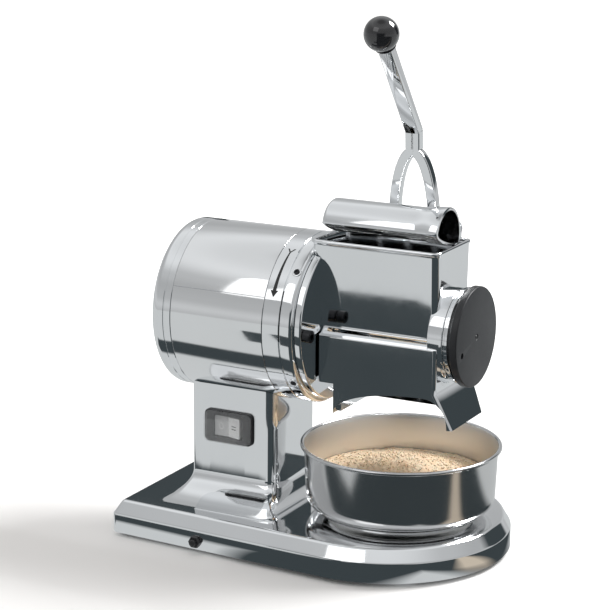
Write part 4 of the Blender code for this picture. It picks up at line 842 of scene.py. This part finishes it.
def bar(name, points, half_widths, half_depth, corner):
    """A rounded rectangular bar along points in planes square to its run."""
    sections = []
    for i, (point, w) in enumerate(zip(points, half_widths)):
        before = Vector(points[max(i - 1, 0)])
        after = Vector(points[min(i + 1, len(points) - 1)])
        along = (after - before).normalized()
        across = along.cross(Vector((0, 1, 0))).normalized()
        out = across.cross(along).normalized()
        ring = rounded_rectangle(-w, w, -half_depth, half_depth, min(w, half_depth) * corner, 5)
        sections.append([Vector(point) + across * a + out * b for a, b in ring])
    return loft(name, sections, angle=40.0)


def make_lever():
    fork = Vector((LEVER_X, PIN_Y - FORK_LEAN, PIN_Z + FORK_RISE))
    along = Vector((0.0, -sind(37.0), cosd(37.0)))
    radius = (knob_high.x - knob_low.x) / 2
    reach = 0.1405
    end = fork + along * (reach - radius * 0.86)
    shares = [i / 16 for i in range(17)]
    points = [fork.lerp(end, t) for t in shares]
    shaft = bar("lever_shaft", points, [0.0083 - 0.0004 * t for t in shares], 0.0056, 0.22)
    ride(shaft, "presser", "lever_arm")
    # A raised rib runs down the arm's front face.
    front = along.cross(Vector((1, 0, 0))) * 0.0050
    ride(bar("lever_rib", [p + front for p in points], [0.0036] * len(points), 0.0016, 0.5), "presser")

    window = 0.78
    for side, name in ((-1, "left"), (1, "right")):
        points = []
        for t in [i / 32 for i in range(33)]:
            ease = math.sqrt(max(1.0 - min(t / window, 1.0) ** 2, 0.0))
            offset = max(LEG_SPREAD * ease, 0.0030)
            points.append((LEVER_X + side * offset, PIN_Y - FORK_LEAN * t, PIN_Z + FORK_RISE * t))
        ride(bar("lever_leg_" + name, points, [LEG] * len(points), LEG, 0.25), "presser")
        x = LEVER_X + side * LEG_SPREAD - 0.007
        eye = softened([(0.0042, 0.014), (0.0078, 0.014), (0.0078, 0.0), (0.0042, 0.0)], 0.0008)
        ride(turned("lever_eye_" + name, eye, POLISHED, (x, PIN_Y, PIN_Z), "X", 48), "presser")
    knuckle = (LEVER_X - 0.0081, fork.y, fork.z)
    ride(turned("lever_knuckle", stub(LEG, 0.0162, 0.0012, 5), POLISHED, knuckle, "X", 40), "presser")

    profile = [(0.0, radius)] + [(radius * sind(a), radius * cosd(a)) for a in range(4, 149, 4)]
    low = profile[-1][1]
    profile += [(0.0112, low - 0.0002), (0.0114, low - 0.0006), (0.0114, low - 0.0016)]
    profile += [(0.0108, low - 0.0022), (0.0, low - 0.0022)]
    ball = turned("ball_knob", profile, PHENOLIC, (0, 0, 0), steps=96)
    turn = along.to_track_quat("Z", "Y").to_matrix().to_4x4()
    ball.matrix_world = Matrix.Translation(fork + along * reach) @ turn
    ride(ball, "presser", "lever_knob", slot="gloss_black")


# ------------------------------------------------------------------ bowl and crumbs
def make_bowl():
    top, foot = bowl_high.z, bowl_low.z
    bead, corner, t = 0.0022, 0.018, 0.0012
    rim_r = BOWL_R - bead
    wall_r = rim_r - bead
    bend_r = wall_r - 0.002 - corner
    outside = [(bend_r + corner * cosd(a), foot + corner * (1 - sind(a))) for a in range(0, 91, 6)]
    rolled = [(rim_r + bead * cosd(a), top - bead + bead * sind(a)) for a in range(165, -200, -15)]
    inside = [(r - t * (0.9 if i else 1.0), z + t * (1.0 if i else 0.2))
              for i, (r, z) in enumerate(outside)]
    profile = rolled + [(wall_r, top - 0.007)] + outside
    profile += [(0.070, foot + 0.0002), (0.0, foot + 0.0002), (0.0, foot + t)]
    profile += list(reversed(inside)) + [(wall_r - t, top - 0.007)]
    bowl = turned("mixing_bowl", profile, STAINLESS, (BOWL_X, 0, 0), steps=192, angle=60.0)
    bowl.data.materials.append(STAINLESS_IN)
    for face in bowl.data.polygons:
        c = face.center
        out = Vector((c.x - BOWL_X, c.y, 0))
        wall = face.normal.dot(out) < 0 and c.z < top - 0.004 and out.length < wall_r - 0.0004
        floor = face.normal.z > 0.5 and c.z < foot + 0.02
        face.material_index = int(wall or floor)
    ride(bowl, "bowl", "bowl", slot="stainless_steel")


def make_crumbs():
    """A heap of crumbs: a lumpy mound with loose grains over it."""
    z_wall = bowl_high.z - 0.040
    radius = BOWL_R - 0.0085

    def height(x, y):
        d = math.hypot(x, y) / radius
        lump = noise.fractal(Vector((x * 38, y * 38, 0.3)), 0.9, 2.1, 4)
        fine = noise.fractal(Vector((x * 240, y * 240, 4.0)), 0.8, 2.0, 3)
        dome = 0.5 * (1 + math.cos(math.pi * min(d, 1.0)))
        return z_wall + 0.0175 * dome + 0.0022 * lump * (1 - d * 0.5) + 0.0009 * fine

    bm = bmesh.new()
    rings, around = 70, 200
    rows = []
    for i in range(1, rings + 1):
        circle = [(radius * i / rings * math.cos(a), radius * i / rings * math.sin(a))
                  for a in [math.tau * j / around for j in range(around)]]
        rows.append([bm.verts.new((BOWL_X + x, y, height(x, y))) for x, y in circle])
    rows.append([bm.verts.new((v.co.x, v.co.y, z_wall - 0.012)) for v in rows[-1]])
    skin(bm, rows)
    centre = bm.verts.new((BOWL_X, 0, height(0, 0)))
    for a, b in zip(rows[0], rows[0][1:] + rows[0][:1]):
        bm.faces.new((centre, a, b))
    bm.faces.new(list(reversed(rows[-1])))
    ride(link("crumb_heap", bm, CRUMB, 60.0), "bowl", slot=None)

    bm = bmesh.new()
    shape = [Vector(v) for v in ((1, 0, 0), (-1, 0, 0), (0, 1, 0), (0, -1, 0), (0, 0, 1), (0, 0, -1))]
    faces = ((0, 2, 4), (2, 1, 4), (1, 3, 4), (3, 0, 4), (2, 0, 5), (1, 2, 5), (3, 1, 5), (0, 3, 5))
    for _ in range(2600):
        d = radius * 0.985 * math.sqrt(RNG.random())
        a = math.tau * RNG.random()
        x, y = d * math.cos(a), d * math.sin(a)
        size = 0.00045 + 0.0011 * RNG.random() ** 2.2
        spin = Matrix.Rotation(RNG.random() * 6.28, 3, "Z") @ Matrix.Rotation(RNG.random() * 6.28, 3, "X")
        centre = Vector((BOWL_X + x, y, height(x, y) + size * 0.35))
        verts = [bm.verts.new(centre + spin @ (v * size * (0.7 + 0.6 * RNG.random()))) for v in shape]
        for f in faces:
            bm.faces.new([verts[k] for k in f])
    ride(link("crumb_grains", bm, CRUMB_PALE, 180.0), "bowl", slot=None)


# ------------------------------------------------------------------ switch, button and small parts
def upright_loft(name, outlines, mat=POLISHED):
    """A skin through outlines that stand round the switch frame's middle, each at its own y."""
    cx = (frame_low.x + frame_high.x) / 2
    cz = (frame_low.z + frame_high.z) / 2
    sections = [[(cx + x, y, cz + z) for x, z in outline] for outline, y in outlines]
    return loft(name, sections, mat, angle=40.0)


def frame_outline(scale, radius=0.006):
    half_x = (frame_high.x - frame_low.x) / 2 * scale
    half_z = (frame_high.z - frame_low.z) / 2 * scale
    return rounded_rectangle(-half_x, half_x, -half_z, half_z, radius, 8)


ROCKER_X = (rocker_low.x + rocker_high.x) / 2
ROCKER_Z = (rocker_low.z + rocker_high.z) / 2
ROCKER_LENGTH = 0.034
ROCKER_RISE = 0.0065          # its pivot to the tips of its front
ROCKER_DIP = 0.0022           # depth of the V between the tips


def make_switch():
    front, back = frame_low.y, frame_high.y
    outlines = [(frame_outline(1.0), back), (frame_outline(1.0), front + 0.0008)]
    outlines.append((frame_outline(0.985), front))
    bezel = upright_loft("switch_bezel", outlines, BLACK_KEY)
    hx, hz = 0.018, 0.0125
    boolean(bezel, block("cutter", (ROCKER_X - hx, front - 0.02, ROCKER_Z - hz),
                         (ROCKER_X + hx, back + 0.02, ROCKER_Z + hz)))
    ride(edged(bezel, 0.0004, 2), "base", "switch_frame", slot="black_plastic")

    levels = [(0.0, 0.95), (0.12, 0.948), (0.3, 0.93), (0.5, 0.87)]
    levels += [(0.75, 0.78), (0.9, 0.735), (0.97, 0.715), (1.0, 0.69)]
    root = boot_high.y
    deep = root - boot_low.y
    outer = [(frame_outline(scale, 0.0062), root - deep * t) for t, scale in levels]
    inner = [(frame_outline(scale * 0.945, 0.0056), root + 0.002 - (deep + 0.0005) * t)
             for t, scale in levels]
    boot = boolean(upright_loft("splash_boot", outer, SMOKY), upright_loft("cutter", inner))
    ride(sharpened(boot, 50.0), "base", "switch_boot", slot="smoky_boot")


def make_rocker():
    """Two keys of one grey plastic, the off key darkened as painted shade and the on key lightened as
    painted light, with plain marks.
    """
    tilt = Matrix.Translation((ROCKER_X, -0.0463, ROCKER_Z)) @ Matrix.Rotation(math.radians(-8.0), 4, "Z")
    half, rise, dip = ROCKER_LENGTH / 2, ROCKER_RISE, ROCKER_DIP

    def key(name, points, mat):
        obj = loft(name, [[(x, y, z) for x, y in points] for z in (-0.0115, 0.0115)], mat)
        obj.data.transform(tilt)
        return edged(obj, 0.0005, 2)

    left = [(-half, -rise), (-0.0001, dip - rise), (-0.0001, 0.0055), (0.003 - half, 0.003)]
    right = [(0.0001, dip - rise), (half, -rise), (half - 0.003, 0.003), (0.0001, 0.0055)]
    # The off key carries painted shade, the on key painted light.
    ride(key("rocker_off", left, SHADED_KEY), "rocker", "switch_rocker", slot="grey_plastic")
    ride(key("rocker_on", right, LIT_KEY_AND_PRINT), "rocker", slot="grey_plastic")

    def mark(name, bm, mat, side):
        obj = link(name, bm, mat)
        lean = Matrix.Rotation(-side * math.atan2(dip, half), 4, "Z")
        obj.data.transform(tilt @ Matrix.Translation((side * half / 2, 0.0010 - rise, 0)) @ lean)
        ride(obj, "rocker", slot="grey_plastic")

    bm = bmesh.new()
    spokes = [[bm.verts.new((k * u * 0.7, 0, k * v)) for k in (0.0040, 0.0030)]
              for u, v in arc((0, 0), 1, 0, 350, 35)]
    skin(bm, spokes + spokes[:1], closed=False)
    mark("mark_off", bm, LIT_KEY_AND_PRINT, -1)

    bm = bmesh.new()
    wide, thin = 0.0034, 0.0005
    for z in (-0.0016, 0.0016):
        corners = ((-wide, -thin), (wide, -thin), (wide, thin), (-wide, thin))
        bm.faces.new([bm.verts.new((u, 0, z + v)) for u, v in corners])
    mark("mark_on", bm, PRINT_AND_SLOT_SHADE_BLACK, 1)


def make_button():
    low, middle, size = placed("reset_collar")
    r = size.z / 2
    profile = softened([(r - 0.0006, size.y), (r, 0.0), (0.0047, 0.0), (0.0047, size.y)], 0.0008)
    foot = (middle.x, low.y + size.y, middle.z)
    collar = turned("button_collar", profile, BLACK_KEY, foot, "-Y", 6)
    ride(collar, "base", "reset_collar", slot="black_plastic")
    low, middle, size = placed("reset_button")
    foot = (middle.x, low.y + size.y, middle.z)
    plunger = turned("button_plunger", stub(size.z / 2, size.y, 0.0013, 5), BLACK_KEY, foot, "-Y", 40)
    ride(plunger, "reset_button", "reset_button", slot="black_plastic")


def make_feet():
    for node in ("foot_left_front", "foot_left_back", "foot_right_front", "foot_right_back"):
        low, middle, size = placed(node)
        r, top = size.x / 2, size.z
        profile = [(0.0, top), (r, top), (r, top - 0.0012), (r - 0.0006, 0.0008), (r - 0.0014, 0.0)]
        profile += [(0.005, 0.0), (0.0045, 0.0012), (0.0, 0.0012)]
        pad = turned(node + "_pad", profile, RUBBER, (middle.x, middle.y, low.z), steps=48)
        ride(pad, "base", node, slot="rubber")


KEPT = {
    "bottom_plate": MACHINED, "cable_gland": SATIN_BLACK, "cooling_fan": SATIN_BLACK,
    "drum_drive_hub": MACHINED, "drum_end_bush": MACHINED, "drum_end_hub": MACHINED,
    "front_bearing": MACHINED, "rear_bearing": MACHINED, "rear_bearing_plate": MACHINED,
    "motor_shaft": MACHINED, "rotor": LAMINATED, "shaft_seal": RUBBER,
    "start_capacitor": PALE_CAN, "stator": COPPER, "switch_body": BLACK_KEY,
}


def finish_kept():
    """The carried-over CAD nodes keep their shapes and get materials."""
    for name, mat in KEPT.items():
        materials = NODES[name].data.materials
        materials.clear()
        materials.append(mat)


# ------------------------------------------------------------------ studio
def make_floor():
    """A pale floor with painted light: it glows more the further it is from the object, so it goes white
    away from it.
    """
    bm = bmesh.new()
    bmesh.ops.create_grid(bm, x_segments=1, y_segments=1, size=6.0)
    t = Tree("studio_floor")
    away = t.node("ShaderNodeVectorMath", {0: t.coord}, operation="LENGTH").outputs["Value"]
    t.set(
        Base_Color=t.mix(t.span(t.noise(1.5), 0.0, 1.0), (0.95, 0.945, 0.94), (0.93, 0.925, 0.92)),
        Roughness=0.6,
        # Painted light: the floor's glow grows with distance from the object.
        Emission_Color=(1.0, 1.0, 1.0),
        Emission_Strength=t.span(away, 0.0, 0.5, 0.35, 1.3),
    )
    floor = link("studio_floor", bm, t.mat)
    floor.location.z = -0.0002
    floor.visible_glossy = False


def make_lights():
    world = bpy.data.worlds.new("studio")
    SCENE.world = world
    world.use_nodes = True
    background = world.node_tree.nodes["Background"]
    background.inputs["Color"].default_value = (1.0, 0.975, 0.95, 1.0)
    background.inputs["Strength"].default_value = 0.62
    for name, place, aim, width, height, power in (
        ("key", (1.3, 1.5, 2.2), (0, 0, 0.1), 1.1, 1.0, 90),
        ("fill", (-0.6, -2.2, 2.0), (0, 0, 0.2), 1.6, 1.2, 5),
        ("top", (0.0, 0.0, 3.2), (0, 0, 0), 2.0, 2.0, 12),
    ):
        light = bpy.data.lights.new(name, "AREA")
        light.shape = "RECTANGLE"
        light.size = width
        light.size_y = height
        light.energy = power
        obj = bpy.data.objects.new(name, light)
        obj.location = place
        obj.rotation_euler = (Vector(aim) - Vector(place)).to_track_quat("-Z", "Y").to_euler()
        SCENE.collection.objects.link(obj)


def only_reflected(obj):
    """Stages an object that is seen only in the metal."""
    for ray in ("camera", "diffuse", "shadow", "transmission"):
        setattr(obj, "visible_" + ray, False)
    return obj


class Glow(Tree):
    """An emission material whose brightness follows object coordinates."""

    def __init__(self, name):
        super().__init__(name)
        self.nodes.remove(self.shader)
        self.shader = self.nodes.new("ShaderNodeEmission")
        self.links.new(self.shader.outputs[0], self.nodes["Material Output"].inputs["Surface"])
        split = self.node("ShaderNodeSeparateXYZ", {0: self.coord})
        self.x, self.y, self.z = split.outputs

    def product(self, *values):
        result = values[0]
        for value in values[1:]:
            result = self.node("ShaderNodeMath", {0: result, 1: value}, operation="MULTIPLY").outputs[0]
        return result

    def within(self, value, low, high, soft):
        """1 between low and high, falling to 0 over a soft edge at each."""
        rise = self.span(value, 0.0, 1.0, low - soft, low + soft)
        fall = self.span(value, 1.0, 0.0, high - soft, high + soft)
        return self.product(rise, fall)

    def any(self, *values):
        result = values[0]
        for value in values[1:]:
            result = self.node("ShaderNodeMath", {0: result, 1: value}, operation="MAXIMUM").outputs[0]
        return result

    def ramp(self, value, stops):
        made = self.node("ShaderNodeValToRGB", {0: value})
        ramp = made.color_ramp
        ramp.interpolation = "EASE"
        while len(ramp.elements) < len(stops):
            ramp.elements.new(0.5)
        for element, (place, shade) in zip(ramp.elements, stops):
            element.position = place
            element.color = (shade * 0.98, shade, shade * 1.015, 1.0)
        return made.outputs[0]


SLATE = (0.046, 0.057, 0.062)
PALE = (0.60, 0.62, 0.625)
WARM = (0.60, 0.52, 0.42)
ROOM = 3.2                    # radius of the surroundings that the metal reflects


def reflected_room():
    """What the polished metal sees: a pale room with two dark parts, and a floor with dark fields."""
    t = Glow("room_reflection")
    height = t.span(t.z, 0.0, 1.0, -ROOM, ROOM)
    tones = ((0.0, 0.5), (0.50, 0.50), (0.56, 0.60), (0.64, 0.47), (0.74, 0.44))
    tones += ((0.82, 0.52), (0.90, 0.80), (0.96, 0.70), (1.0, 0.30))
    walls = t.ramp(height, tones)
    front = t.product(t.within(t.x, -0.2, 2.3, 0.25), t.within(t.y, -3.4, -1.2, 0.2),
                      t.within(t.z, -0.6, 1.1, 0.12))
    behind = t.product(t.within(t.x, 0.9, 2.2, 0.1), t.within(t.y, 1.6, 3.2, 0.2),
                       t.within(t.z, 0.3, 1.6, 0.1))
    t.set(Color=t.mix(t.any(front, behind), walls, SLATE), Strength=1.0)
    bm = bmesh.new()
    bmesh.ops.create_uvsphere(bm, u_segments=48, v_segments=24, radius=ROOM)
    only_reflected(link("room_reflection", bm, t.mat))

    t = Glow("floor_reflection")
    dark = t.any(
        t.product(t.within(t.x, -0.42, 5.0, 0.02), t.within(t.y, -0.285, -0.16, 0.01)),
        t.product(t.within(t.x, -0.06, 5.0, 0.02), t.within(t.y, -5.0, -0.125, 0.01)),
        t.product(t.within(t.x, 0.20, 5.0, 0.01), t.within(t.y, -5.0, 0.16, 0.02)),
    )
    warm = t.product(t.within(t.x, 0.21, 5.0, 0.01), t.within(t.y, -0.065, -0.01, 0.012))
    t.set(Color=t.mix(warm, t.mix(dark, PALE, SLATE), WARM), Strength=1.0)
    bm = bmesh.new()
    bmesh.ops.create_circle(bm, cap_ends=True, segments=64, radius=ROOM)
    floor = only_reflected(link("floor_reflection", bm, t.mat))
    floor.location.z = 0.0002

    # Upright dark cards: one in front for the chute and the hopper's foot, one behind for the base's left.
    dark_card("front_card", (-0.245, 0.0), -0.50, (0.001, 0.122))
    dark_card("back_card", (-0.80, -0.47), 0.60, (0.001, 0.40))


def dark_card(name, across, y, heights):
    t = Glow(name)
    soft = t.span(t.noise(3.0), 0.0, 1.0)
    t.set(Color=t.mix(soft, SLATE, (0.060, 0.071, 0.076)), Strength=1.0)
    bm = bmesh.new()
    skin(bm, [[bm.verts.new((x, y, z)) for x in across] for z in heights], closed=False)
    only_reflected(link(name, bm, t.mat))


# The photo's viewpoint, found by fitting a camera to it: turn, rise and roll in degrees, lengths in metres.
CAMERA_TURN, CAMERA_RISE, CAMERA_ROLL = 27.463, 14.010, 0.388
CAMERA_AIM = Vector((-0.0361, 0.00827, 0.2557))
CAMERA_DISTANCE = 2.4139
CAMERA_LENS = 129.48          # millimetres, for a sensor 36 mm wide


def make_camera():
    level = cosd(CAMERA_RISE)
    back = Vector((sind(CAMERA_TURN) * level, -cosd(CAMERA_TURN) * level, sind(CAMERA_RISE)))
    right = Vector((cosd(CAMERA_TURN), sind(CAMERA_TURN), 0.0))
    up = back.cross(right)
    rolled_right = right * cosd(CAMERA_ROLL) + up * sind(CAMERA_ROLL)
    rolled_up = up * cosd(CAMERA_ROLL) - right * sind(CAMERA_ROLL)
    data = bpy.data.cameras.new("camera")
    data.sensor_width = 36.0
    data.lens = CAMERA_LENS
    obj = bpy.data.objects.new("camera", data)
    turn = Matrix((rolled_right, rolled_up, back)).transposed().to_4x4()
    obj.matrix_world = Matrix.Translation(CAMERA_AIM + back * CAMERA_DISTANCE) @ turn
    SCENE.collection.objects.link(obj)
    SCENE.camera = obj


make_base()
make_pedestal()
make_motor()
make_arrow()
make_ring_screws()
make_flange_bolts()
make_hopper()
make_chute()
make_flange()
make_lugs()
make_drum()
make_end()
make_presser()
make_lever()
make_bowl()
make_crumbs()
make_switch()
make_rocker()
make_button()
make_feet()
finish_kept()
make_floor()
make_lights()
reflected_room()
make_camera()
SCENE.view_settings.view_transform = "Standard"
